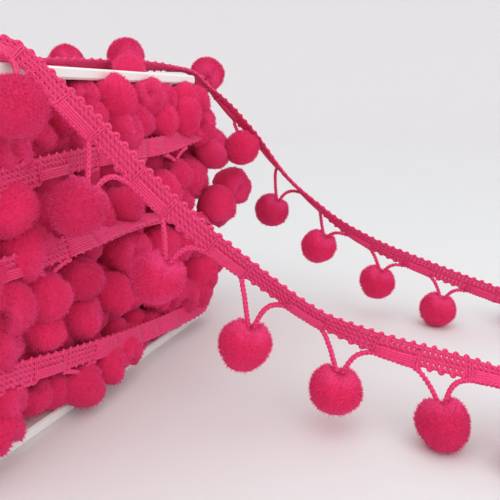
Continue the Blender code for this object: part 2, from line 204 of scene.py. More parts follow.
# Wound pompoms that make the front's pattern, listed one by one.
FRONT_POMPOMS = (
    # x, stand-out, height, radius: top rows
    (-62.0, 1.0, 121.0, 9.0), (-45.0, -3.0, 124.0, 8.4), (-27.0, -3.5, 123.5, 8.2), (-12.0, -3.0, 118.5, 7.4),
    (4.0, -6.0, 126.0, 7.4), (18.0, 1.0, 125.0, 8.6), (44.0, 1.0, 126.5, 8.8), (62.0, -3.0, 124.0, 8.0),
    (78.0, -1.0, 124.0, 8.2), (92.0, 0.0, 123.0, 8.2),
    (-66.0, 1.0, 105.0, 9.0), (-47.0, 0.0, 107.5, 8.6), (-30.0, -3.0, 110.5, 8.0), (-6.0, -6.0, 104.5, 8.0),
    (5.0, -3.0, 117.0, 7.8), (20.0, 3.0, 112.0, 8.8), (36.0, -1.0, 114.5, 7.8), (54.0, 1.0, 115.0, 8.6),
    (76.0, 1.0, 115.5, 9.2), (93.0, 1.0, 110.0, 8.8), (42.0, -7.0, 101.0, 8.0), (70.0, -6.0, 99.0, 8.4),
    # between the upper two turns
    (104.0, 3.0, 97.5, 10.4), (124.0, 7.0, 74.0, 10.2), (106.0, 5.5, 64.0, 10.8), (62.0, 3.0, 87.0, 9.4),
    (52.0, 3.0, 82.0, 8.8), (-50.0, 1.0, 89.0, 9.4), (-30.0, -3.0, 84.0, 8.4), (-41.0, 0.5, 72.0, 9.6),
    (20.0, 1.0, 81.5, 9.0), (-8.0, -2.0, 86.0, 8.6), (5.0, -3.0, 76.0, 8.4), (36.0, -3.0, 86.0, 8.6),
    (-70.0, 2.0, 86.0, 9.2), (-66.0, 1.0, 69.0, 9.2), (84.0, -1.0, 84.0, 9.0), (74.0, -3.0, 72.0, 9.0),
    (99.0, -7.0, 88.0, 9.0), (102.0, -8.0, 78.0, 9.0),
    # between the lower two turns
    (24.0, -2.0, 56.0, 10.2), (53.0, 0.0, 53.0, 9.4), (10.0, 0.0, 41.5, 9.0), (-10.0, -1.0, 37.0, 8.4),
    (-12.0, -1.0, 54.0, 8.8), (-35.0, 2.0, 54.0, 9.8), (-54.0, 2.0, 55.0, 9.8), (-36.0, -1.0, 40.0, 8.6),
    (-57.0, 1.0, 42.5, 8.2), (38.0, -3.0, 43.0, 8.6), (70.0, 0.0, 49.0, 9.4), (90.0, 1.0, 47.0, 9.6),
    (89.0, 2.0, 29.0, 10.2), (84.0, 1.0, 20.5, 9.8), (69.0, 1.0, 22.0, 9.6), (48.0, -2.0, 27.5, 8.4),
    (60.0, -2.0, 37.0, 8.6), (-76.0, 2.0, 51.0, 9.4), (-75.0, 1.0, 33.0, 9.0), (104.0, 2.0, 36.0, 9.4),
    # under the lowest turn
    (-58.0, 1.0, 22.5, 8.0), (-63.0, 1.0, 13.5, 8.8), (-41.0, -3.0, 15.5, 7.8), (-30.0, -2.0, 13.5, 7.6),
    (-20.0, 5.0, 11.5, 8.6), (-2.0, 5.0, 12.0, 7.2), (12.0, 4.0, 13.0, 7.0), (27.0, -3.0, 12.5, 7.4),
    (43.0, -3.0, 12.5, 7.4), (59.0, -3.0, 12.5, 7.4), (75.0, -4.0, 12.5, 7.4), (92.0, -3.0, 13.0, 7.6),
    (-80.0, 2.0, 16.0, 9.0),
)
PRESSED_SWELL = 1.08                 # of the pompoms above, which are pushed out of round
SLIPPED_POMPOM = (57.0, -10.5, 137.0, 8.4)   # x, y, z, radius: pressed flat on the top flange
FRONT_TABLE_REACH = (-84.0, 108.0)   # the stretch of the front that the table above fills

# The other wound pompoms follow rows round the reel.
OUTER_ROWS = (
    # height, stand-out, pitch
    (13.5, 2.0, 20.0),
    (30.0, -1.0, 19.0),
    (46.0, 3.0, 19.5),
    (62.0, 1.5, 19.0),
    (84.0, 2.5, 19.5),
    (97.0, -2.0, 21.0),
    (114.0, 1.0, 19.0),
    (124.0, -3.5, 20.0),
)
INNER_ROWS = (
    (15.0, -10.5, 19.0),
    (31.0, -10.5, 18.0),
    (47.0, -10.5, 19.0),
    (63.0, -10.5, 18.0),
    (79.0, -10.5, 19.0),
    (95.0, -10.5, 18.0),
    (111.0, -10.5, 19.0),
    (122.0, -11.0, 18.0),
)
WOUND_RADIUS = 9.0                   # of a wound pompom, before its lumps
WOUND_CORNER = 26.0                  # of the roll's outline, seen from above
LOW_PART_TOP = 45.0                  # the wound pompoms are three pieces, one above the other
MIDDLE_PART_TOP = 92.0
ROUND_CORNER_FROM = 95.0             # x, past which the front's pompoms face the corner
WOUND_SWAY = 2.5                     # how far a wound pompom may lie out of its row
CLOSEST = 0.75                       # two wound pompoms' distance, as a share of their radii together
INNER_SWELL = 0.6                    # how much larger the hidden pompoms are
HIDDEN_PILE = 0.35                   # share of fibres that a wound pompom has on its hidden side

# How each kind of pompom is made: subdivisions, fibres for each square millimetre, depth of the
# dimple and height of the lumps. The last two are shares of the radius.
WOUND_MAKE = (3, 2.4, 0.42, 0.42)
INNER_MAKE = (2, 0.0, 0.0, 0.13)
LOOSE_MAKE = (4, 5.5, 0.22, 0.2)
GRAIN = 0.05                         # height of the finest lumps, as a share of the radius


def curve_point(rows, i, t):
    """A point of the smooth curve through the rows, between row i and row i + 1."""
    last = len(rows) - 1
    a, b, c, d = (rows[min(max(k, 0), last)] for k in (i - 1, i, i + 1, i + 2))
    return [0.5 * (2 * q + (r - p) * t + (2 * p - 5 * q + 4 * r - s) * t * t
                   + (3 * q - p - 3 * r + s) * t * t * t)
            for p, q, r, s in zip(a, b, c, d)]


class Route:
    """A braid's middle line by its length, with its directions at each place."""

    FINE = 24
    HEADING_REACH = 2.0

    def __init__(self, rows):
        samples = [curve_point(rows, i, k / self.FINE)
                   for i in range(len(rows) - 1) for k in range(self.FINE)]
        samples.append(list(rows[-1]))
        self.samples = np.array(samples)
        steps = np.linalg.norm(np.diff(self.samples[:, :3], axis=0), axis=1)
        self.lengths = np.concatenate([[0.0], np.cumsum(steps)])
        self.length = float(self.lengths[-1])

    def row(self, along):
        """The route's values at that length."""
        return [float(np.interp(along, self.lengths, column)) for column in self.samples.T]

    def place(self, along):
        """Middle of the braid, and its directions: along, across to the pompoms, face, hanging."""
        row = self.row(along)
        before, after = (self.row(along + step)[:3] for step in (-self.HEADING_REACH, self.HEADING_REACH))
        forward = (Vector(after) - Vector(before)).normalized()
        down = Vector((0.0, 0.0, -1.0))
        down = (down - forward * down.dot(forward)).normalized()
        left = forward.cross(down)
        lean, hang = math.radians(row[3]), math.radians(row[4])
        across = down * math.cos(lean) + left * math.sin(lean)
        hanging = down * math.cos(hang) + left * math.sin(hang)
        plumb = Vector((0.0, 0.0, -1.0)) * math.cos(hang) ** 2 * PLUMB_SHARE
        hanging = (hanging + plumb).normalized()
        middle = Vector(row[:3])
        face = forward.cross(across)
        braid = bpy.context.scene.fringe_braid
        reach = abs(across.z) * braid.width / MM / 2 + abs(face.z) * braid.thickness / MM / 2
        middle.z = max(middle.z, reach)
        return middle, forward, across, face, hanging


def outline_point(run, stand_out):
    """A point of the wound trim's outline seen from above, and the outward direction there. The run
    is a share of the turn, from the middle of the front towards +X."""
    length, depth = REEL_LENGTH + 2 * stand_out, REEL_DEPTH + 2 * stand_out
    corner = max(WOUND_CORNER + stand_out, 2.0)
    straight_x, straight_y = length - 2 * corner, depth - 2 * corner
    arc = math.pi * corner / 2
    left = (run % 1.0) * (2 * straight_x + 2 * straight_y + 4 * arc)
    place, heading = Vector((0.0, -depth / 2)), 0.0
    for piece, turning in ((straight_x / 2, 0), (arc, 1), (straight_y, 0), (arc, 1),
                           (straight_x, 0), (arc, 1), (straight_y, 0), (arc, 1), (straight_x / 2, 0)):
        along = Vector((math.cos(math.radians(heading)), math.sin(math.radians(heading))))
        inward = Vector((-along.y, along.x))
        part = min(left, piece)
        if turning:
            angle = part / corner
            place = place + along * corner * math.sin(angle) + inward * corner * (1 - math.cos(angle))
            heading += math.degrees(angle)
        else:
            place = place + along * part
        left -= part
        if left <= 0:
            break
    along = math.radians(heading)
    return place, Vector((math.sin(along), -math.cos(along)))


def wound_route():
    """The three visible turns as one route that ends where the loose end begins."""
    edge = REEL_DEPTH / 2
    end = REEL_LENGTH / 2 + TURN_END_STAND_OUT
    rows = [(x, y, z, 0.0, 0.0) for x, y, z in FIRST_TURN_START]
    for front, back in BRAID_TURNS:
        rows += [(x, -edge - stand_out, z, lean, 0.0) for x, stand_out, z, lean in front]
        near = (front[-1][2] + back[0][2]) / 2 if back else front[-1][2]
        rows.append((-end + 10.0, -edge - 1.0, near, 0.0, 0.0))
        rows.append((-end, 0.0, near, 4.0, 0.0))
        rows.append((-end + 10.0, edge + 1.0, near, 0.0, 0.0))
        if back:
            far = back[-1][2] + 3.0
            rows += [(x, edge + stand_out, z, lean, 0.0) for x, stand_out, z, lean in back]
            rows.append((end - 9.0, edge + 1.0, far, 0.0, 0.0))
            rows.append((end, 0.0, far + 2.0, -4.0, 0.0))
            rows.append((end - 7.0, -edge - 1.0, far + 4.0, 20.0, 0.0))
    rows += [(x, y, z, 0.0, 0.0) for x, y, z in LAST_TURN_JOIN]
    return Route(rows)


def at_rest(point, radius, pressed=0.0):
    """The point, lifted where something of that radius would sink into the floor or the flange."""
    over_flange = (abs(point.x) < REEL_LENGTH / 2 + REST_GAP and abs(point.y) < REEL_DEPTH / 2 + REST_GAP)
    lowest = radius - pressed
    if over_flange and point.z > UNDER_TOP_FLANGE:
        lowest = REEL_TOP + REST_GAP + radius
    return Vector((point.x, point.y, max(point.z, lowest)))


def pompom_centre(route, along, number):
    """Where a pompom of the loose end hangs or lies."""
    settings = bpy.context.scene.fringe_pompoms
    radius = settings.diameter / MM / 2
    middle, _, across, _, hanging = route.place(along)
    edge = middle + across * bpy.context.scene.fringe_braid.width / MM / 2
    centre = edge + hanging * (LEG_DROP + radius)
    centre += Vector(POMPOM_SHIFTS.get(number, (0.0, 0.0, 0.0)))
    return at_rest(centre, radius, FLAT_SPOT)


def bezier(a, b, c, t):
    """A point of the curve from a to c that b draws towards itself."""
    return a * (1 - t) ** 2 + b * 2 * t * (1 - t) + c * t * t


def leg_path(route, along, centre, radius, sink):
    """The line of one pair of legs, from the braid's edge into the pompom and back."""
    braid = bpy.context.scene.fringe_braid
    thick = braid.cord_diameter / MM
    middle, _, across, face, _ = route.place(along)
    stand_off = braid.width / MM / 2 - LEG_INSET
    bow = face * (centre - middle).dot(face) * CORD_BOW
    towards = (middle + across * stand_off - centre).normalized()
    foot = centre + towards * (radius - sink)
    legs = []
    for side in (-1, 1):
        root_middle, root_forward, root_across, _, _ = route.place(along + side * LEG_SPREAD / 2)
        start = root_middle + root_across * stand_off
        share = LEG_START - side * root_forward.z * LEG_SLACK
        bend = start - root_forward * side * LEG_SPREAD * share
        apart = root_forward * side * thick * LEG_PART
        points = []
        for k in range(LEG_STEPS + 1):
            t = k / LEG_STEPS
            point = bezier(start, bend, foot, t) + bow * 4 * t * (1 - t) * 0.8 + apart * t
            points.append(at_rest(point, thick / 2))
        legs.append(points)
    return legs


# ------------------------------------------------------------------ settings

def length_setting(name, description, default):
    """A size, given in millimetres."""
    return bpy.props.FloatProperty(name=name, description=description, default=default * MM, unit="LENGTH")


def colour_setting(name, description, default):
    """A colour, given as red, green and blue."""
    return bpy.props.FloatVectorProperty(name=name, description=description, default=(*default, 1.0),
                                         subtype="COLOR", size=4, min=0.0, max=1.0)


class BraidSettings(bpy.types.PropertyGroup):
    """Sizes and colours of the braid and its cords."""

    width: length_setting("Width", "Width of the braid over its loops", 10.5)
    thickness: length_setting("Thickness", "Thickness of the braid over its stitches", 1.8)
    stitch_pitch: length_setting("Stitch Pitch", "Length of braid from one edge loop to the next", 4.2)
    cord_diameter: length_setting("Cord Diameter", "Thickness of the cord that carries the pompoms", 2.2)
    colour: colour_setting("Yarn", "Colour of the yarn in the light", (0.92, 0.058, 0.24))
    shade: colour_setting("Yarn Shade", "Colour of the yarn between its fibres", (0.66, 0.014, 0.08))


class PompomSettings(bpy.types.PropertyGroup):
    """Sizes and colours of the pompoms."""

    diameter: length_setting("Diameter", "Diameter of a loose pompom", 20.0)
    pile: length_setting("Pile", "Length of the fibre ends that stand out", 1.3)
    # The tips' colour is a painted highlight, and the roots' colour is painted shade between the fibre ends.
    colour: colour_setting("Pile Tips", "Colour of the fibre ends", (0.97, 0.075, 0.30))
    shade: colour_setting("Pile Roots", "Colour between the fibre ends", (0.60, 0.002, 0.032))
    # Painted highlight round each pompom's cord.
    crown: colour_setting("Pile Crown", "Paler colour round the cord", (0.99, 0.115, 0.38))
    seed: bpy.props.IntProperty(
        name="Seed", description="Changes the lumps and the lie of the wound pompoms", default=7)


class ReelSettings(bpy.types.PropertyGroup):
    """Finish of the reel."""

    colour: colour_setting("Plastic", "Colour of the reel", (0.86, 0.85, 0.83))
    roughness: bpy.props.FloatProperty(
        name="Roughness", description="Roughness of the reel's surface", default=0.42, min=0.0, max=1.0,
        subtype="FACTOR")


class StageSettings(bpy.types.PropertyGroup):
    """Floor, lights and camera."""

    floor_colour: colour_setting("Floor", "Colour of the floor", (0.79, 0.803, 0.806))
    wall_colour: colour_setting("Wall", "Colour of the backdrop's wall", (0.88, 0.868, 0.873))
    key_power: bpy.props.FloatProperty(
        name="Key Light", description="Power of the large light overhead", default=4.9, unit="POWER")
    fill_power: bpy.props.FloatProperty(
        name="Fill Light", description="Power of the large light in front", default=2.8, unit="POWER")
    sky_strength: bpy.props.FloatProperty(
        name="Sky", description="Strength of the even light from all round", default=0.92)
    lens: bpy.props.FloatProperty(
        name="Lens", description="Focal length of the camera", default=43.2 * MM, unit="CAMERA")


# ------------------------------------------------------------------ node helpers

def built_once(collection, name):
    """Gives a builder its name as an argument, and builds only what isn't there under that name."""
    def wrap(builder):
        return lambda: getattr(bpy.data, collection).get(name) or builder(name)
    return wrap


def add_node(tree, kind, inputs=None, **settings):
    """A node with its settings, and its inputs linked to sockets or set to values."""
    node = tree.nodes.new(kind)
    for name, value in settings.items():
        setattr(node, name, value)
    for key, value in (inputs or {}).items():
        if isinstance(value, bpy.types.NodeSocket):
            tree.links.new(value, node.inputs[key])
        else:
            node.inputs[key].default_value = value
    return node


def maths(tree, operation, first, second=0.0, third=0.0, clamp=False):
    return add_node(tree, "ShaderNodeMath", {0: first, 1: second, 2: third}, operation=operation,
                    use_clamp=clamp).outputs[0]


def times(tree, first, second):
    return maths(tree, "MULTIPLY", first, second)


def plus(tree, first, second):
    return maths(tree, "ADD", first, second)


def minus(tree, first, second):
    return maths(tree, "SUBTRACT", first, second)


def vectors(tree, operation, first, second=(0.0, 0.0, 0.0)):
    return add_node(tree, "ShaderNodeVectorMath", {0: first, 1: second}, operation=operation).outputs[0]


def scaled(tree, vector, factor):
    return add_node(tree, "ShaderNodeVectorMath", {0: vector, "Scale": factor}, operation="SCALE").outputs[0]


def split(tree, vector):
    return add_node(tree, "ShaderNodeSeparateXYZ", {"Vector": vector}).outputs


def joined(tree, x, y=0.0, z=0.0):
    return add_node(tree, "ShaderNodeCombineXYZ", {"X": x, "Y": y, "Z": z}).outputs[0]


def noise(tree, vector, scale, detail=1.0, roughness=0.5):
    return add_node(tree, "ShaderNodeTexNoise", {"Vector": vector, "Scale": scale, "Detail": detail,
                                                 "Roughness": roughness}).outputs


def mix(tree, factor, first, second):
    """The first colour at 0, and the second at 1."""
    return add_node(tree, "ShaderNodeMix", {"Factor": factor, 6: first, 7: second},
                    data_type="RGBA").outputs[2]


def ramp_between(tree, value, low, high):
    """0 below low and 1 above high, smooth in between."""
    return add_node(tree, "ShaderNodeMapRange", {"Value": value, "From Min": low, "From Max": high},
                    interpolation_type="SMOOTHSTEP").outputs["Result"]


def new_tree(name, inputs):
    """An empty Geometry Nodes tree with these named inputs, and its input node."""
    tree = bpy.data.node_groups.new(name, "GeometryNodeTree")
    tree.interface.new_socket("Geometry", in_out="INPUT", socket_type="NodeSocketGeometry")
    for title, kind in inputs:
        tree.interface.new_socket(title, in_out="INPUT", socket_type="NodeSocket" + kind)
    tree.interface.new_socket("Geometry", in_out="OUTPUT", socket_type="NodeSocketGeometry")
    return tree, tree.nodes.new("NodeGroupInput")


def position(tree):
    return tree.nodes.new("GeometryNodeInputPosition").outputs[0]


def realised(tree, geometry):
    return add_node(tree, "GeometryNodeRealizeInstances", {"Geometry": geometry}).outputs[0]


def put(tree, geometry, **inputs):
    """The geometry with its points at this Position, or moved by this Offset."""
    return add_node(tree, "GeometryNodeSetPosition", {"Geometry": geometry, **inputs}).outputs[0]


def smoothed(tree, geometry):
    return add_node(tree, "GeometryNodeSetShadeSmooth", {"Geometry": geometry}).outputs[0]


def object_shape(tree, obj):
    return add_node(tree, "GeometryNodeObjectInfo", {"Object": obj}).outputs["Geometry"]


def close_tree(tree, geometry, material):
    """The end of every tree: real instances, nothing below the floor, and the material."""
    place = split(tree, position(tree))
    raised = joined(tree, place["X"], place["Y"], maths(tree, "MAXIMUM", place["Z"], 0.0))
    lifted = put(tree, realised(tree, geometry), Position=raised)
    dressed = add_node(tree, "GeometryNodeSetMaterial", {"Geometry": lifted, "Material": material})
    add_node(tree, "NodeGroupOutput", {"Geometry": dressed.outputs[0]})


def attribute(tree, name, kind="FLOAT_VECTOR"):
    """What is kept on the points under that name."""
    return add_node(tree, "GeometryNodeInputNamedAttribute", {"Name": name}, data_type=kind).outputs[0]


def store(tree, geometry, name, value, kind="FLOAT_VECTOR", domain="POINT"):
    """The geometry with the value kept on its points under that name."""
    return add_node(tree, "GeometryNodeStoreNamedAttribute",
                    {"Geometry": geometry, "Name": name, "Value": value},
                    data_type=kind, domain=domain).outputs[0]


def grow(name, base, tree, inputs):
    """What a tree makes of the base object, as a plain mesh object. The base is removed."""
    modifier = base.modifiers.new("Grow", "NODES")
    modifier.node_group = tree
    for item in tree.interface.items_tree:
        if item.item_type == "SOCKET" and item.in_out == "INPUT" and item.name in inputs:
            modifier[item.identifier] = inputs[item.name]
    bpy.context.view_layer.update()
    depsgraph = bpy.context.evaluated_depsgraph_get()
    mesh = bpy.data.meshes.new_from_object(base.evaluated_get(depsgraph),
                                           preserve_all_data_layers=True, depsgraph=depsgraph)
    base.modifiers.remove(modifier)
    bpy.data.objects.remove(base, do_unlink=True)
    mesh.name = name
    return link_object(name, mesh)


# ------------------------------------------------------------------ mesh helpers

def link_object(name, mesh):
    obj = bpy.data.objects.new(name, mesh)
    bpy.context.scene.collection.objects.link(obj)
    return obj


def finish_piece(obj, slot, *nodes):
    """The last calls on every piece: its body, and hiding the CAD nodes that it stands for. The slot is not
    used.
    """
    if nodes:
        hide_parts(*nodes)
    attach(obj, BODY)


def yarn(bm, points, radius, sides=4):
    """A capped strand through points in millimetres."""
    points = [Vector(point) for point in points]
    rings = []
    for i, point in enumerate(points):
        way = (points[min(i + 1, len(points) - 1)] - points[max(i - 1, 0)]).normalized()
        up = Vector((0.0, 0.0, 1.0)) if abs(way.z) < 0.9 else Vector((1.0, 0.0, 0.0))
        side = way.cross(up).normalized()
        up = side.cross(way)
        ring = []
        for k in range(sides):
            angle = math.tau * k / sides
            offset = side * math.cos(angle) + up * math.sin(angle)
            ring.append(bm.verts.new((point + offset * radius) * MM))
        rings.append(ring)
    for a, b in zip(rings, rings[1:]):
        for k in range(sides):
            n = (k + 1) % sides
            bm.faces.new((a[k], a[n], b[n], b[k]))
    bm.faces.new(list(reversed(rings[0])))
    bm.faces.new(rings[-1])


def stash(bm, name, material=None, strands=True):
    """The bmesh as an object. Strands are turned outwards first."""
    if strands:
        bmesh.ops.recalc_face_normals(bm, faces=bm.faces)
    mesh = bpy.data.meshes.new(name)
    bm.to_mesh(mesh)
    bm.free()
    if strands or material:
        mesh.shade_smooth()
    if material:
        mesh.materials.append(material)
    return link_object(name, mesh)


def mark(mesh, title, values, kind="FLOAT"):
    """A number or a vector kept on each point of the mesh."""
    layer = mesh.attributes.new(title, kind, "POINT").data
    if kind == "FLOAT_VECTOR":
        layer.foreach_set("vector", [c for value in values for c in value])
    else:
        layer.foreach_set("value", values)


def drop(*objects):
    """Removes helper objects."""
    for obj in objects:
        bpy.data.objects.remove(obj, do_unlink=True)


# ------------------------------------------------------------------ materials

@built_once("node_groups", "Fibres")
def fibre_group(name):
    """Colour and height of short fibres: fine specks on slow changes of shade."""
    tree = bpy.data.node_groups.new(name, "ShaderNodeTree")
    for title, kind in (("Vector", "Vector"), ("Colour", "Color"), ("Shade", "Color"),
                        ("Fine Scale", "Float"), ("Speck Share", "Float"), ("Slow Scale", "Float")):
        tree.interface.new_socket(title, in_out="INPUT", socket_type="NodeSocket" + kind)
    for title, kind in (("Colour", "Color"), ("Height", "Float")):
        tree.interface.new_socket(title, in_out="OUTPUT", socket_type="NodeSocket" + kind)
    start = tree.nodes.new("NodeGroupInput").outputs
    fine = noise(tree, start["Vector"], start["Fine Scale"], 3.0, 0.65)["Fac"]
    slow = noise(tree, start["Vector"], start["Slow Scale"])["Fac"]
    drift = maths(tree, "MULTIPLY_ADD", ramp_between(tree, slow, 0.3, 0.7), 0.35, 0.65)
    light = times(tree, ramp_between(tree, fine, 0.36, 0.58), drift)
    keep = minus(tree, 1.0, start["Speck Share"])
    share = maths(tree, "MULTIPLY_ADD", light, start["Speck Share"], keep, clamp=True)
    colour = mix(tree, share, start["Shade"], start["Colour"])
    add_node(tree, "NodeGroupOutput", {"Colour": colour, "Height": fine})
    return tree


def new_material(name):
    """A material, its tree and its shader."""
    material = bpy.data.materials.new(name)
    material.use_nodes = True
    tree = material.node_tree
    return material, tree, tree.nodes["Principled BSDF"]


def fibres(tree, colour, shade, fine_scale, speck_share, slow_scale):
    """The fibre group's outputs, on the object's own coordinates."""
    group = tree.nodes.new("ShaderNodeGroup")
    group.node_tree = fibre_group()
    place = tree.nodes.new("ShaderNodeTexCoord").outputs["Object"]
    tree.links.new(place, group.inputs["Vector"])
    for title, value in (("Colour", colour), ("Shade", shade), ("Fine Scale", fine_scale),
                         ("Speck Share", speck_share), ("Slow Scale", slow_scale)):
        group.inputs[title].default_value = value
    return group.outputs


def marked(tree, name):
    """What is kept on the mesh's points under that name."""
    return add_node(tree, "ShaderNodeAttribute", attribute_type="GEOMETRY",
                    attribute_name=name).outputs["Fac"]


def finish_surface(tree, shader, colour, height, strength, depth, values):
    """Links a shader's colour and bump, and sets its own sockets. The depth is in millimetres."""
    tree.links.new(colour, shader.inputs["Base Color"])
    bump = add_node(tree, "ShaderNodeBump", {"Strength": strength, "Distance": depth * MM, "Height": height})
    tree.links.new(bump.outputs[0], shader.inputs["Normal"])
    for title, value in values.items():
        shader.inputs[title].default_value = value


@built_once("materials", "trim_yarn_spun")
def yarn_material(name):
    """Matt spun yarn, with painted shade on the braid's ground between its stitches."""
    settings = bpy.context.scene.fringe_braid
    material, tree, shader = new_material(name)
    group = fibres(tree, settings.colour, settings.shade, 1600.0, 0.55, 60.0)
    # Painted shade: the braid's ground is mixed about a third of the way towards a dim copy of the yarn's
    # shade colour.
    ground_shaded = mix(tree, times(tree, marked(tree, "ground"), 0.35), group["Colour"],
               [0.4 * c for c in settings.shade])
    finish_surface(tree, shader, ground_shaded, group["Height"], 0.35, 0.25, {
        "Roughness": 0.62, "Specular IOR Level": 0.35, "Sheen Weight": 0.25, "Sheen Roughness": 0.4,
        "Sheen Tint": (1.0, 0.45, 0.65, 1.0)})
    return material


@built_once("materials", "pompom_pile_cut")
def pile_material(name):
    """Cut pile: painted shade on the balls and the fibre roots, painted highlights on the fibre tips and
    round the cord.
    """
    settings = bpy.context.scene.fringe_pompoms
    material, tree, shader = new_material(name)
    # Painted shade: the ball leans to the roots' colour, and the fibres turn towards the tips' painted
    # highlight.
    group = fibres(tree, [0.35 * a + 0.65 * b for a, b in zip(settings.colour, settings.shade)],
                   settings.shade, 1300.0, 0.45, 60.0)
    tip_highlighted = mix(tree, times(tree, marked(tree, "tip"), 0.75), group["Colour"], settings.colour)
    toned = add_node(tree, "ShaderNodeHueSaturation", {
        "Value": maths(tree, "MULTIPLY_ADD", marked(tree, "look"), 0.16, 0.9), "Color": tip_highlighted}).outputs[0]
    # Painted highlight round the cord, mixed halfway towards its colour.
    top_highlighted = mix(tree, times(tree, marked(tree, "crown"), 0.5), toned, settings.crown)
    finish_surface(tree, shader, top_highlighted, group["Height"], 0.5, 0.35, {
        "Roughness": 0.9, "Specular IOR Level": 0.15, "Sheen Weight": 0.38, "Sheen Roughness": 0.55,
        "Sheen Tint": (1.0, 0.22, 0.62, 1.0)})
    return material


def plastic_material():
    """White moulded plastic, faintly uneven."""
    settings = bpy.context.scene.fringe_reel
    material, tree, shader = new_material("reel_plastic_moulded")
    group = fibres(tree, settings.colour, [0.94 * c for c in settings.colour[:3]] + [1.0],
                   700.0, 0.3, 25.0)
    finish_surface(tree, shader, group["Colour"], group["Height"], 0.12, 0.2,
                   {"Roughness": settings.roughness})
    return material


def floor_material():
    """Pale paper, a little lighter and warmer on the wall."""
    settings = bpy.context.scene.fringe_stage
    material, tree, shader = new_material("stage_paper")
    place = tree.nodes.new("ShaderNodeTexCoord").outputs["Object"]
    away = add_node(tree, "ShaderNodeVectorMath", {0: place}, operation="LENGTH").outputs["Value"]
    colour = mix(tree, ramp_between(tree, away, 0.3, 1.6), settings.floor_colour, settings.wall_colour)
    tree.links.new(colour, shader.inputs["Base Color"])
    shader.inputs["Roughness"].default_value = 0.75
    shader.inputs["Specular IOR Level"].default_value = 0.2
    return material


# ------------------------------------------------------------------ trees

@built_once("node_groups", "Lay Along Guide")
def laying_tree(name):
    """Repeats a flat cell along a guide line that knows its across and face directions."""
    tree, start = new_tree(name, (
        ("Cell", "Object"), ("Repeats", "Int"), ("Pitch", "Float"), ("Unevenness", "Float"),
        ("Join Distance", "Float"), ("Material", "Material")))
    given = start.outputs
    curve = add_node(tree, "GeometryNodeMeshToCurve", {"Mesh": given["Geometry"]}).outputs[0]
    line = add_node(tree, "GeometryNodeMeshLine",
                    {"Count": given["Repeats"], "Offset": joined(tree, given["Pitch"])},
                    mode="OFFSET").outputs[0]
    placed = add_node(tree, "GeometryNodeInstanceOnPoints",
                      {"Points": line, "Instance": object_shape(tree, given["Cell"])}).outputs[0]
    flat = position(tree)
    centred = vectors(tree, "SUBTRACT", noise(tree, flat, 260.0)["Color"], (0.5, 0.5, 0.5))
    parts = split(tree, vectors(tree, "ADD", flat, scaled(tree, centred, given["Unevenness"])))
    sampled = []
    for name in ("across", "face"):
        sampled.append(add_node(tree, "GeometryNodeSampleCurve",
                                {"Curves": curve, "Value": attribute(tree, name), "Length": parts["X"]},
                                mode="LENGTH", data_type="FLOAT_VECTOR"))
    sideways = scaled(tree, sampled[0].outputs["Value"], parts["Y"])
    outwards = scaled(tree, sampled[1].outputs["Value"], parts["Z"])
    place = vectors(tree, "ADD", sampled[0].outputs["Position"], vectors(tree, "ADD", sideways, outwards))
    merged = add_node(tree, "GeometryNodeMergeByDistance", {
        "Geometry": put(tree, realised(tree, placed), Position=place),
        "Distance": given["Join Distance"]}).outputs[0]
    close_tree(tree, merged, given["Material"])
    return tree


@built_once("node_groups", "Plait Cord")
def cord_tree(name):
    """Four plies wound both ways round each line of the base, as on a plaited cord."""
    tree, start = new_tree(name, (
        ("Diameter", "Float"), ("Lay", "Float"), ("Step", "Float"), ("Material", "Material")))
    given = start.outputs
    curve = add_node(tree, "GeometryNodeMeshToCurve", {"Mesh": given["Geometry"]}).outputs[0]
    fine = add_node(tree, "GeometryNodeResampleCurve", {"Curve": curve, "Length": given["Step"]},
                    mode="LENGTH").outputs[0]
    plies = add_node(tree, "GeometryNodeDuplicateElements", {"Geometry": fine, "Amount": 4},
                     domain="SPLINE")
    index = plies.outputs["Duplicate Index"]
    numbered = store(tree, plies.outputs["Geometry"], "ply", index, "INT", "CURVE")
    ply = attribute(tree, "ply", "INT")
    length = tree.nodes.new("GeometryNodeSplineParameter").outputs["Length"]
    tangent = tree.nodes.new("GeometryNodeInputTangent").outputs[0]
    normal = tree.nodes.new("GeometryNodeInputNormal").outputs[0]
    other = vectors(tree, "CROSS_PRODUCT", tangent, normal)
    way = minus(tree, times(tree, maths(tree, "LESS_THAN", ply, 1.5), 2.0), 1.0)
    turn = times(tree, maths(tree, "DIVIDE", length, given["Lay"]), math.tau)
    angle = plus(tree, times(tree, turn, way), times(tree, ply, math.pi))
    radius = times(tree, given["Diameter"], 0.30)
    side = scaled(tree, normal, times(tree, maths(tree, "COSINE", angle), radius))
    up = scaled(tree, other, times(tree, maths(tree, "SINE", angle), radius))
    wound = put(tree, numbered, Offset=vectors(tree, "ADD", side, up))
    section = add_node(tree, "GeometryNodeCurvePrimitiveCircle",
                       {"Resolution": 4, "Radius": times(tree, given["Diameter"], 0.25)}).outputs[0]
    solid = add_node(tree, "GeometryNodeCurveToMesh", {"Curve": wound, "Profile Curve": section,
                                                       "Fill Caps": True}).outputs[0]
    close_tree(tree, smoothed(tree, solid), given["Material"])
    return tree


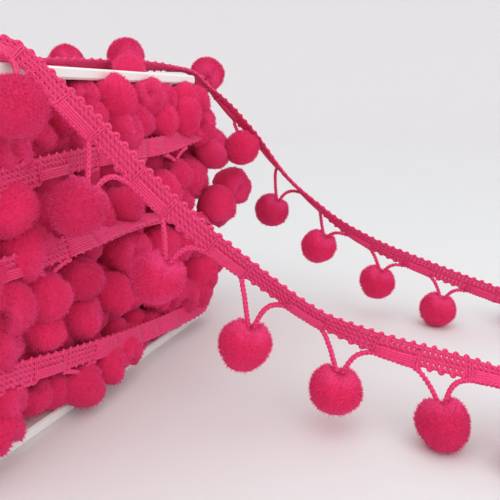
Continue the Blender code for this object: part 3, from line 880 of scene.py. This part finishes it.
@built_once("node_groups", "Cut Pile Balls")
def pompom_tree(name):
    """A lumpy cut-pile ball, with a dimple towards its cord, on each point of the base."""
    tree, start = new_tree(name, (
        ("Subdivisions", "Int"), ("Lumps", "Float"), ("Grain", "Float"), ("Dimple", "Float"),
        ("Pile", "Float"), ("Pile Density", "Float"), ("Fibre", "Object"), ("Seed", "Int"),
        ("Material", "Material")))
    given = start.outputs
    ball = add_node(tree, "GeometryNodeMeshIcoSphere",
                    {"Radius": 1.0, "Subdivisions": given["Subdivisions"]}).outputs["Mesh"]
    ball = store(tree, ball, "ball", position(tree))
    upright = add_node(tree, "FunctionNodeAlignRotationToVector", {"Vector": attribute(tree, "up")},
                       axis="Z").outputs[0]
    turned = add_node(tree, "FunctionNodeAlignRotationToVector",
                      {"Rotation": upright, "Vector": attribute(tree, "along")},
                      axis="X", pivot_axis="Z").outputs[0]
    kept = store(tree, given["Geometry"], "centre", position(tree))
    balls = add_node(tree, "GeometryNodeInstanceOnPoints",
                     {"Points": kept, "Instance": ball, "Rotation": turned,
                      "Scale": attribute(tree, "size")}).outputs[0]
    place = position(tree)
    centre = attribute(tree, "centre")
    lumps = []
    for scale, weight in ((75.0, given["Lumps"]), (190.0, times(tree, given["Lumps"], 0.55)),
                          (1100.0, given["Grain"])):
        lumps.append(times(tree, minus(tree, noise(tree, place, scale)["Fac"], 0.5), weight))
    swell = plus(tree, plus(tree, lumps[0], lumps[1]), lumps[2])
    on_ball = split(tree, attribute(tree, "ball"))
    shown = maths(tree, "MAXIMUM", attribute(tree, "bare", "FLOAT"), 0.2)
    # Mask of the painted highlight round the cord, fainter on the wound pompoms.
    crown = times(tree, ramp_between(tree, on_ball["Z"], 0.25, 1.0), shown)
    real = store(tree, realised(tree, balls), "crown", crown, "FLOAT")

    # a dent round the cord, a crease across it, and a slight point at the bottom
    top = ramp_between(tree, on_ball["Z"], 0.84, 1.0)
    half = ramp_between(tree, on_ball["Z"], 0.1, 0.9)
    narrow = minus(tree, 1.0, ramp_between(tree, maths(tree, "ABSOLUTE", on_ball["X"]), 0.0, 0.42))
    crease = times(tree, times(tree, half, narrow), 0.85)
    dent = times(tree, plus(tree, top, crease), given["Dimple"])
    bottom = times(tree, ramp_between(tree, times(tree, on_ball["Z"], -1.0), 0.6, 1.0),
                   times(tree, given["Dimple"], 0.3))
    factor = minus(tree, plus(tree, plus(tree, swell, 1.0), bottom), dent)
    radial = vectors(tree, "SUBTRACT", place, centre)
    limits = split(tree, vectors(tree, "ADD", centre, scaled(tree, radial, factor)))

    # pressed flat by the floor and by the flanges, inside their outline
    within = [maths(tree, "LESS_THAN", maths(tree, "ABSOLUTE", limits[axis]), (size / 2 + 0.8) * MM)
              for axis, size in (("X", REEL_LENGTH), ("Y", REEL_DEPTH))]
    between = times(tree, *within)
    middle = (UNDER_TOP_FLANGE + REEL_TOP) / 2 * MM
    under = times(tree, between, maths(tree, "LESS_THAN", split(tree, centre)["Z"], middle))
    above = minus(tree, between, under)
    low = plus(tree, times(tree, above, REEL_TOP * MM),
               plus(tree, times(tree, under, OVER_BOTTOM_FLANGE * MM), FLANGE_GAP * MM))
    high = minus(tree, 1.0, times(tree, under, 1.0 - (UNDER_TOP_FLANGE - FLANGE_GAP) * MM))
    height = maths(tree, "MINIMUM", maths(tree, "MAXIMUM", limits["Z"], low), high)
    smooth = smoothed(tree, put(tree, real, Position=joined(tree, limits["X"], limits["Y"], height)))

    outward = add_node(tree, "ShaderNodeVectorMath", {0: tree.nodes.new("GeometryNodeInputNormal").outputs[0],
                                                      1: attribute(tree, "out")}, operation="DOT_PRODUCT")
    facing = maths(tree, "ADD", outward.outputs["Value"], attribute(tree, "bare", "FLOAT"), clamp=True)
    roots = add_node(tree, "GeometryNodeDistributePointsOnFaces",
                     {"Mesh": smooth, "Density": times(tree, facing, given["Pile Density"]),
                      "Seed": given["Seed"]}, distribute_method="RANDOM")
    tilt = add_node(tree, "FunctionNodeRandomValue", {0: (-0.55, -0.55, 0.0), 1: (0.55, 0.55, math.tau),
                                                      "Seed": given["Seed"]}, data_type="FLOAT_VECTOR")
    bent = add_node(tree, "FunctionNodeRotateRotation",
                    {"Rotation": roots.outputs["Rotation"], "Rotate By": tilt.outputs[0]},
                    rotation_space="LOCAL").outputs[0]
    tall = add_node(tree, "FunctionNodeRandomValue", {2: 0.35, 3: 1.15, "Seed": given["Seed"]},
                    data_type="FLOAT").outputs[1]
    standing = add_node(tree, "GeometryNodeInstanceOnPoints",
                        {"Points": roots.outputs["Points"], "Instance": object_shape(tree, given["Fibre"]),
                         "Rotation": bent, "Scale": times(tree, tall, given["Pile"])}).outputs[0]
    whole = add_node(tree, "GeometryNodeJoinGeometry")
    tree.links.new(standing, whole.inputs[0])
    tree.links.new(smooth, whole.inputs[0])
    close_tree(tree, whole.outputs[0], given["Material"])
    return tree


# ------------------------------------------------------------------ cells and guides

# Yarns by their radius, and the braid's columns by their distance from its middle.
COLUMN_PLACES = (-2.9, -0.97, 0.97, 2.9)
COLUMN_RADIUS = 0.48
LOOP_RADIUS = 0.58
WEFT_RADIUS = 0.3
CROSS_RADIUS = 0.34
FLOAT_RADIUS = 0.52

# A crosswise stitch: share of the braid's half width, and height over the braid's middle.
CROSS_STITCH = ((-0.6, 0.2), (-0.35, 0.62), (0.0, 0.66), (0.45, 0.8), (0.84, 0.85), (0.97, 0.0))
FLOATS_CORD_SIDE = (0.9, 1.8, 2.7, 3.6)
FLOATS_WHOLE = (-3.6, -2.7, -1.8, -0.9, 0.0) + FLOATS_CORD_SIDE


def guide(name, route, step=1.4):
    """A line along the route that carries the braid's across and face directions."""
    count = math.ceil(route.length / step)
    stations = [route.place(route.length * i / count) for i in range(count + 1)]
    mesh = bpy.data.meshes.new(name)
    mesh.from_pydata([s[0] * MM for s in stations], [(i, i + 1) for i in range(count)], [])
    for title, which in (("across", 2), ("face", 3)):
        mark(mesh, title, [s[which] for s in stations], "FLOAT_VECTOR")
    return link_object(name, mesh)


def web_cell(pitch, half_width):
    """One repeat of the braid's ground: a thin slab with small gaps between its stitches."""
    bm = bmesh.new()
    half_thick = 0.3
    xs = [0.0, pitch * 0.19, pitch * 0.31, pitch * 0.69, pitch * 0.81, pitch]
    ys = [-half_width, -2.2, -1.66, -0.27, 0.27, 1.66, 2.2, half_width]
    gaps = {(i, j) for i in (1, 3) for j in (1, 3, 5)}
    grid = {}
    for level in (-1, 1):
        for i, x in enumerate(xs):
            for j, y in enumerate(ys):
                grid[level, i, j] = bm.verts.new(Vector((x, y, level * half_thick)) * MM)
    for i in range(len(xs) - 1):
        for j in range(len(ys) - 1):
            if (i, j) in gaps:
                for a, b in (((i, j), (i + 1, j)), ((i + 1, j), (i + 1, j + 1)),
                             ((i + 1, j + 1), (i, j + 1)), ((i, j + 1), (i, j))):
                    bm.faces.new((grid[(-1, *a)], grid[(1, *a)], grid[(1, *b)], grid[(-1, *b)]))
                continue
            for level in (-1, 1):
                corners = [grid[level, i, j], grid[level, i + 1, j],
                           grid[level, i + 1, j + 1], grid[level, i, j + 1]]
                bm.faces.new(corners if level > 0 else corners[::-1])
        for j, flip in ((0, False), (len(ys) - 1, True)):
            wall = [grid[-1, i, j], grid[-1, i + 1, j], grid[1, i + 1, j], grid[1, i, j]]
            bm.faces.new(wall[::-1] if flip else wall)
    return stash(bm, "web_cell", strands=False)


def stitch_cell(pitch, half_width, detail):
    """One repeat of the braid's stitches: twisted columns, weft between them, a loop on each edge."""
    bm = bmesh.new()
    steps = 5 + 3 * detail
    for column in COLUMN_PLACES:
        for ply in (0, 1):
            points = []
            for k in range(steps + 1):
                t = k / steps
                angle = math.tau * t + math.pi * ply
                points.append((pitch * (t * 1.02 - 0.01), column + 0.42 * math.cos(angle),
                               0.45 * math.sin(angle)))
            yarn(bm, points, COLUMN_RADIUS)
    inset = 1.45 if detail else 1.85
    for edge in (-1, 1):
        points = []
        loop_steps = 7 + detail
        for k in range(loop_steps + 1):
            angle = -0.8 * math.pi + 1.6 * math.pi * k / loop_steps
            points.append((pitch * 0.5 + 0.85 * math.sin(angle),
                           edge * (half_width - inset + 0.78 * math.cos(angle)), 0.4 * math.sin(angle)))
        yarn(bm, points, LOOP_RADIUS)
    for start, way in ((0.0, 1), (0.5, -1)):
        points = [(pitch * (start + 0.5 * k / 4), way * (-3.4 + 6.8 * k / 4),
                   0.34 * math.sin(k * 2.2 + way)) for k in range(5)]
        yarn(bm, points, WEFT_RADIUS)
    return stash(bm, "stitch_cell")


def caught_cord(name, route, spans):
    """Where the braid carries the cord between two pairs of legs: long floats over the cord's side,
    and crosswise stitches at both ends. Each span is its start, its end and whether the floats
    cover the whole width."""
    bm = bmesh.new()
    half = bpy.context.scene.fringe_braid.width / MM / 2
    for start, stop, whole in spans:
        for along in () if whole else (start - 0.45, start + 0.45, stop - 0.45, stop + 0.45):
            middle, _, across, face, _ = route.place(min(max(along, 0.6), route.length - 0.6))
            for side in (-1, 1):
                points = [at_rest(middle + across * (half * y) + face * side * z, CROSS_RADIUS)
                          for y, z in CROSS_STITCH]
                yarn(bm, points, CROSS_RADIUS)
        steps = max(2, math.ceil((stop - start) / 3.5))
        for y in FLOATS_WHOLE if whole else FLOATS_CORD_SIDE:
            for side in (-1, 1):
                points = []
                for k in range(steps + 1):
                    middle, _, across, face, _ = route.place(start + (stop - start) * k / steps)
                    bulge = 0.6 + 0.3 * math.sin(math.pi * k / steps)
                    points.append(at_rest(middle + across * y + face * side * bulge, FLOAT_RADIUS))
                yarn(bm, points, FLOAT_RADIUS)
    return stash(bm, name, yarn_material())


def fibre_shape():
    """A single cut fibre end of unit length, with its tip marked for the painted highlight on the pile's
    tips.
    """
    mesh = bpy.data.meshes.new("pile_fibre")
    mesh.from_pydata([(-0.12, 0, 0), (0.12, 0, 0), (0.02, 0.03, 1.0)], [], [(0, 1, 2)])
    mark(mesh, "tip", [0.2, 0.2, 1.0])
    return link_object("pile_fibre", mesh)


def point_cloud(name, rows):
    """Points for the pompom tree. Each row is a centre, the direction of its cord, its radius,
    the direction that shows, how much of its hidden side has fibres too, and the braid's direction."""
    mesh = bpy.data.meshes.new(name)
    mesh.from_pydata([row[0] * MM for row in rows], [], [])
    rng = random.Random(len(rows))
    least, most = (0.91, 0.98) if rows[0][4] == 1.0 else (0.905, 1.095)
    sizes = [[row[2] * MM * rng.uniform(least, most) for _ in range(3)] for row in rows]
    mark(mesh, "size", sizes, "FLOAT_VECTOR")
    for title, which in (("up", 1), ("out", 3), ("along", 5)):
        mark(mesh, title, [row[which] for row in rows], "FLOAT_VECTOR")
    mark(mesh, "bare", [row[4] for row in rows])
    mark(mesh, "look", [rng.random() for _ in rows])
    return link_object(name, mesh)


def lay(name, route, cell, pitch, unevenness, join_distance, material):
    """The cell, repeated along the route as one piece."""
    repeats = max(1, round(route.length / pitch))
    return grow(name, guide(name + "_guide", route), laying_tree(), {
        "Cell": cell, "Repeats": repeats, "Pitch": route.length / repeats * MM, "Unevenness": unevenness * MM,
        "Join Distance": join_distance * MM, "Material": material})


def cut_pitch(route, pitch):
    """The pitch that divides the route evenly."""
    return route.length / max(1, round(route.length / pitch))


def braid(name, route, detail):
    """The ground and the stitches of one length of braid."""
    settings = bpy.context.scene.fringe_braid
    half_width = settings.width / MM / 2
    pitch = cut_pitch(route, settings.stitch_pitch / MM)
    material = yarn_material()
    cell = web_cell(pitch, half_width - 1.35)
    web = lay(name, route, cell, pitch, 0.0, 0.01, material)
    drop(cell)
    bm = bmesh.new()
    bm.from_mesh(web.data)
    ends = [edge for edge in bm.edges if edge.is_boundary]
    bmesh.ops.holes_fill(bm, edges=ends, sides=0)
    bmesh.ops.recalc_face_normals(bm, faces=bm.faces)
    bm.to_mesh(web.data)
    bm.free()
    # Marks the web for the painted shade on the braid's ground.
    mark(web.data, "ground", [1.0] * len(web.data.vertices))
    cell = stitch_cell(pitch, half_width, detail)
    stitches = lay(name + "_stitches", route, cell, pitch, 0.5, 0.0, material)
    stitches.data.shade_smooth()
    drop(cell)
    return web, stitches


def cords(name, paths):
    """All the cords along these lines, as one piece."""
    settings = bpy.context.scene.fringe_braid
    vertices, edges = [], []
    for path in paths:
        first = len(vertices)
        vertices += [point * MM for point in path]
        edges += [(first + i, first + i + 1) for i in range(len(path) - 1)]
    mesh = bpy.data.meshes.new(name + "_lines")
    mesh.from_pydata(vertices, edges, [])
    lines = link_object(name + "_lines", mesh)
    return grow(name, lines, cord_tree(), {
        "Diameter": settings.cord_diameter, "Lay": 3.4 * MM, "Step": 0.85 * MM, "Material": yarn_material()})


def balls(name, rows, make):
    """The pompoms of these rows as one piece."""
    settings = bpy.context.scene.fringe_pompoms
    subdivisions, density, dimple, lumps = make
    fibre = fibre_shape()
    made = grow(name, point_cloud(name + "_points", rows), pompom_tree(), {
        "Subdivisions": subdivisions, "Lumps": lumps, "Grain": GRAIN, "Dimple": dimple,
        "Pile": settings.pile, "Pile Density": density * 1e6, "Fibre": fibre, "Seed": settings.seed,
        "Material": pile_material()})
    drop(fibre)
    return made


# ------------------------------------------------------------------ wound pompoms

def row_count(pitch, stand_out=0.0):
    """How many pompoms go round the reel."""
    around = 2 * (REEL_LENGTH + REEL_DEPTH) - 8 * WOUND_CORNER + math.tau * (WOUND_CORNER + stand_out)
    return round(around / pitch)


def outer_places():
    """Centres, outward directions and radii of the pompoms that show on the roll."""
    rng = random.Random(bpy.context.scene.fringe_pompoms.seed)
    places = []
    for x, stand_out, height, radius in FRONT_POMPOMS:
        y = -REEL_DEPTH / 2 - stand_out
        outward = Vector((0.0, -1.0, 0.0)) if x < ROUND_CORNER_FROM else Vector((0.75, -0.66, 0.0))
        places.append((Vector((x, y, height)), outward, radius * PRESSED_SWELL))
    low, high = FRONT_TABLE_REACH
    for height, stand_out, pitch in OUTER_ROWS:
        count = row_count(pitch)
        start = rng.random() / count
        for i in range(count):
            run = start + (i + rng.uniform(-0.18, 0.18)) / count
            flat, outward = outline_point(run, stand_out + rng.uniform(-WOUND_SWAY, WOUND_SWAY))
            centre = Vector((flat.x, flat.y, height + rng.uniform(-WOUND_SWAY, WOUND_SWAY)))
            radius = WOUND_RADIUS + rng.uniform(-0.6, 0.6)
            taken = flat.y < 0 and low < flat.x < high
            taken = taken or any((centre - other[0]).length < CLOSEST * (radius + other[2])
                                 for other in places)
            if not taken:
                places.append((centre, outward.to_3d(), radius))
    return places


def inner_places():
    """The same for the pompoms behind them, which all have one radius."""
    rng = random.Random(bpy.context.scene.fringe_pompoms.seed + 1)
    places = []
    for height, stand_out, pitch in INNER_ROWS:
        count = row_count(pitch, stand_out)
        for i in range(count):
            flat, outward = outline_point((i + rng.random() * 0.4) / count, stand_out)
            centre = Vector((flat.x, flat.y, height + rng.uniform(-1.5, 1.5)))
            places.append((centre, outward.to_3d(), WOUND_RADIUS + INNER_SWELL))
    return places


def clear_of_flanges(centre, radius):
    """The centre, moved so that a pompom inside the flanges' outline stays between them."""
    inside = abs(centre.x) < REEL_LENGTH / 2 and abs(centre.y) < REEL_DEPTH / 2
    slack = (0.95 if inside else 0.6) * radius
    low, high = OVER_BOTTOM_FLANGE + slack, UNDER_TOP_FLANGE - slack
    return Vector((centre.x, centre.y, min(max(centre.z, low), high)))


# ------------------------------------------------------------------ operators

class FRINGE_OT_reel(bpy.types.Operator):
    """Give the reel's flanges and core their plastic"""

    bl_idname = "fringe.reel"
    bl_label = "Reel"

    def execute(self, context):
        material = plastic_material()
        for name in ("reel_flange_bottom", "reel_flange_top", "reel_core"):
            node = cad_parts[name]
            node.data.materials.clear()
            node.data.materials.append(material)
        return {"FINISHED"}


class FRINGE_OT_wound_pompoms(bpy.types.Operator):
    """Heap the wound pompoms round the reel, in two layers"""

    bl_idname = "fringe.wound_pompoms"
    bl_label = "Wound Pompoms"

    def execute(self, context):
        rng = random.Random(context.scene.fringe_pompoms.seed + 2)
        places = outer_places()
        context.scene["wound_places"] = [list(centre) + [radius] for centre, _, radius in places]
        thirds = {"low": [], "middle": [], "high": []}
        for centre, outward, radius in places:
            part = "low" if centre.z < LOW_PART_TOP else "middle" if centre.z < MIDDLE_PART_TOP else "high"
            up = Vector((rng.uniform(-1, 1), rng.uniform(-1, 1), rng.uniform(-1, 1))).normalized()
            up += outward * rng.uniform(-0.7, 0.9)
            thirds[part].append((clear_of_flanges(centre, radius), up.normalized(), radius, outward,
                                 HIDDEN_PILE, outward.cross(Vector((0.0, 0.0, 1.0)))))
        thirds["high"].append((Vector(SLIPPED_POMPOM[:3]), Vector((1.0, 0.0, 0.0)), SLIPPED_POMPOM[3],
                               Vector((0.0, 0.0, 1.0)), HIDDEN_PILE, Vector((0.0, 1.0, 0.0))))
        for part, rows in thirds.items():
            piece = balls("wound_pompoms_" + part, rows, WOUND_MAKE)
            finish_piece(piece, "pompom_pile", *(("wound_trim",) if part == "middle" else ()))
        rows = [(clear_of_flanges(centre, radius), outward, radius, outward, 0.0, Vector((0.0, 0.0, 1.0)))
                for centre, outward, radius in inner_places()]
        piece = balls("wound_pompoms_inner", rows, INNER_MAKE)
        finish_piece(piece, "pompom_pile")
        return {"FINISHED"}


WANTED_ACROSS = 14.0          # from a turn's middle to where its pompom should lie
WANTED_BEHIND = 2.0           # how far behind the braid's face
WANTED_WITHIN = 11.0          # a cord runs to the nearest pompom within this distance
LAID_CORD_LIFT = 0.2          # of the cord in the braid's edge, from the braid's middle
LAID_CORD_RADIUS = 1.1
WOUND_SINK = 2.0              # how far a cord runs into its pompom
LOOSE_SINK = 3.0


class FRINGE_OT_wound_braid(bpy.types.Operator):
    """Lay the turns of braid that show between the wound pompoms"""

    bl_idname = "fringe.wound_braid"
    bl_label = "Wound Braid"

    def execute(self, context):
        route = wound_route()
        web, stitches = braid("wound_braid", route, 0)
        finish_piece(web, "trim_yarn")
        finish_piece(stitches, "trim_yarn")
        places = [(Vector(row[:3]), row[3]) for row in context.scene["wound_places"]]
        paths, spans = [], []
        along = POMPOM_PITCH / 2
        while along < route.length - LEG_SPREAD:
            middle, _, across, face, _ = route.place(along)
            wanted = middle + across * WANTED_ACROSS - face * WANTED_BEHIND
            centre, radius = min(places, key=lambda place: (place[0] - wanted).length)
            if (centre - wanted).length < WANTED_WITHIN:
                paths += leg_path(route, along, centre, radius, WOUND_SINK)
            stretched = middle.y < -REEL_DEPTH / 2 and middle.x > 0.0
            spans.append((along + LEG_SPREAD / 2, along + POMPOM_PITCH - LEG_SPREAD / 2, stretched))
            if stretched:
                spans.append((along - LEG_SPREAD / 2, along + LEG_SPREAD / 2, True))
            along += POMPOM_PITCH
        finish_piece(cords("wound_cords", paths), "trim_yarn")
        finish_piece(caught_cord("wound_floats", route, spans), "trim_yarn")
        return {"FINISHED"}


class FRINGE_OT_loose_braid(bpy.types.Operator):
    """Lay the loose end's braid along its route"""

    bl_idname = "fringe.loose_braid"
    bl_label = "Loose Braid"

    def execute(self, context):
        route = Route(LOOSE_ROUTE)
        web, stitches = braid("loose_end_braid", route, 1)
        finish_piece(web, "trim_yarn", "loose_braid")
        finish_piece(stitches, "trim_yarn")
        return {"FINISHED"}


class FRINGE_OT_loose_pompoms(bpy.types.Operator):
    """Hang the loose end's pompoms on their cords"""

    bl_idname = "fringe.loose_pompoms"
    bl_label = "Loose Pompoms"

    def execute(self, context):
        settings = context.scene.fringe_pompoms
        radius = settings.diameter / MM / 2
        route = Route(LOOSE_ROUTE)
        along, number = FIRST_POMPOM, 1
        rows, paths, spans = [], [], []
        edge = context.scene.fringe_braid.width / MM / 2 - CORD_INSET
        previous = 0.0
        while along < route.length - LEG_SPREAD / 2 - END_MARGIN:
            centre = pompom_centre(route, along, number)
            middle, forward, across, _, _ = route.place(along)
            towards = (middle + across * edge - centre).normalized()
            legs = leg_path(route, along, centre, radius, LOOSE_SINK)
            laid = self.laid_cord(route, previous, along - LEG_SPREAD / 2, edge)
            paths.append(laid + legs[0][1:])
            paths.append(legs[1])
            spans.append((max(previous, 0.6), along - LEG_SPREAD / 2, False))
            previous = along + LEG_SPREAD / 2
            rows.append((centre, towards, radius, Vector((0.0, 0.0, 1.0)), 1.0, forward))
            along += POMPOM_PITCH
            number += 1
        paths.append(self.laid_cord(route, previous, route.length, edge))
        names = sorted(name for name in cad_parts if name.startswith("pompom_"))
        cord_names = [name for name in names if name.startswith("pompom_cord_")]
        ball_names = [name for name in names if not name.startswith("pompom_cord_")]
        finish_piece(cords("loose_end_cords", paths), "trim_yarn", *cord_names)
        finish_piece(caught_cord("loose_floats", route, spans), "trim_yarn")
        piece = balls("loose_end_pompoms", rows, LOOSE_MAKE)
        finish_piece(piece, "pompom_pile", *ball_names)
        return {"FINISHED"}

    @staticmethod
    def laid_cord(route, start, stop, edge):
        """The cord where it lies in the braid's edge, between two pairs of legs."""
        count = max(2, math.ceil((stop - start) / 2.5))
        points = []
        for i in range(count + 1):
            middle, _, across, face, _ = route.place(start + (stop - start) * i / count)
            points.append(at_rest(middle + across * edge + face * LAID_CORD_LIFT, LAID_CORD_RADIUS))
        return points


CAMERA_PLACE = (-0.200, -0.180, 0.125)      # metres
CAMERA_HEADING = (0.924, 0.383)             # which way it looks, seen from above
CAMERA_PITCH = 14.306                       # degrees below level
CAMERA_SENSOR = 36.0
LIGHTS_AIM = (0.03, -0.08, 0.06)


class FRINGE_OT_stage(bpy.types.Operator):
    """Make the floor, the lights and the camera"""

    bl_idname = "fringe.stage"
    bl_label = "Stage"

    def execute(self, context):
        settings = context.scene.fringe_stage
        self.backdrop()
        self.lights(context, settings)
        data = bpy.data.cameras.new("camera")
        data.lens = settings.lens / MM
        data.sensor_width = CAMERA_SENSOR
        data.clip_start = 0.01
        camera = link_object("camera", data)
        camera.location = CAMERA_PLACE
        pitch = math.radians(CAMERA_PITCH)
        heading = Vector(CAMERA_HEADING).normalized()
        look = Vector((heading.x * math.cos(pitch), heading.y * math.cos(pitch), -math.sin(pitch)))
        camera.rotation_euler = look.to_track_quat("-Z", "Y").to_euler()
        context.scene.camera = camera
        context.scene.view_settings.view_transform = "Standard"
        return {"FINISHED"}

    @staticmethod
    def backdrop():
        """A round floor whose rim sweeps up into a wall."""
        bm = bmesh.new()
        flat, bend, high = 1.6, 0.7, 1.4
        profile = [(0.0, 0.0), (flat, 0.0)]
        profile += [(flat + bend * math.sin(a), bend * (1 - math.cos(a)))
                    for a in (math.pi / 2 * k / 8 for k in range(1, 9))]
        profile.append((flat + bend, high))
        sides = 64
        middle = bm.verts.new((0.0, 0.0, 0.0))
        rings = [[bm.verts.new((r * math.cos(math.tau * k / sides), r * math.sin(math.tau * k / sides), z))
                  for k in range(sides)] for r, z in profile[1:]]
        for k in range(sides):
            n = (k + 1) % sides
            bm.faces.new((middle, rings[0][k], rings[0][n]))
            for a, b in zip(rings, rings[1:]):
                bm.faces.new((a[k], b[k], b[n], a[n]))
        stash(bm, "backdrop", floor_material(), strands=False)

    @staticmethod
    def lights(context, settings):
        """Two soft lights and an even sky."""
        for name, place, size, power, colour in (
                ("key_light", (-0.55, -0.25, 1.05), 2.0, settings.key_power, (1.0, 0.985, 0.97)),
                ("fill_light", (-0.5, -1.0, 0.45), 0.9, settings.fill_power, (1.0, 0.99, 0.98))):
            data = bpy.data.lights.new(name, "AREA")
            data.shape = "DISK"
            data.size = size
            data.energy = power
            data.color = colour
            lamp = link_object(name, data)
            lamp.location = place
            aim = Vector(LIGHTS_AIM) - lamp.location
            lamp.rotation_euler = aim.to_track_quat("-Z", "Y").to_euler()
        world = bpy.data.worlds.new("studio")
        context.scene.world = world
        world.use_nodes = True
        background = world.node_tree.nodes["Background"]
        background.inputs["Color"].default_value = (0.985, 0.985, 1.0, 1.0)
        background.inputs["Strength"].default_value = settings.sky_strength


class FRINGE_PT_panel(bpy.types.Panel):
    """The fringe's settings and its pieces"""

    bl_label = "Pompom Fringe"
    bl_idname = "FRINGE_PT_panel"
    bl_space_type = "VIEW_3D"
    bl_region_type = "UI"
    bl_category = "Pompom Fringe"

    def draw(self, context):
        layout = self.layout
        for title, settings in (("Braid", context.scene.fringe_braid),
                                ("Pompoms", context.scene.fringe_pompoms),
                                ("Reel", context.scene.fringe_reel),
                                ("Stage", context.scene.fringe_stage)):
            box = layout.box()
            box.label(text=title)
            for name in settings.__annotations__:
                box.prop(settings, name)
        for operator in OPERATORS:
            layout.operator(operator.bl_idname)


SETTINGS = (
    ("fringe_braid", BraidSettings),
    ("fringe_pompoms", PompomSettings),
    ("fringe_reel", ReelSettings),
    ("fringe_stage", StageSettings),
)
OPERATORS = (
    FRINGE_OT_stage,
    FRINGE_OT_reel,
    FRINGE_OT_wound_pompoms,
    FRINGE_OT_wound_braid,
    FRINGE_OT_loose_braid,
    FRINGE_OT_loose_pompoms,
)


def register():
    for name, settings in SETTINGS:
        bpy.utils.register_class(settings)
        setattr(bpy.types.Scene, name, bpy.props.PointerProperty(type=settings))
    for operator in OPERATORS:
        bpy.utils.register_class(operator)
    bpy.utils.register_class(FRINGE_PT_panel)


def unregister():
    bpy.utils.unregister_class(FRINGE_PT_panel)
    for operator in reversed(OPERATORS):
        bpy.utils.unregister_class(operator)
    for name, settings in reversed(SETTINGS):
        delattr(bpy.types.Scene, name)
        bpy.utils.unregister_class(settings)


def main():
    register()
    bpy.ops.fringe.stage()
    bpy.ops.fringe.reel()
    bpy.ops.fringe.wound_pompoms()
    bpy.ops.fringe.wound_braid()
    bpy.ops.fringe.loose_braid()
    bpy.ops.fringe.loose_pompoms()


if __name__ == "__main__":
    main()
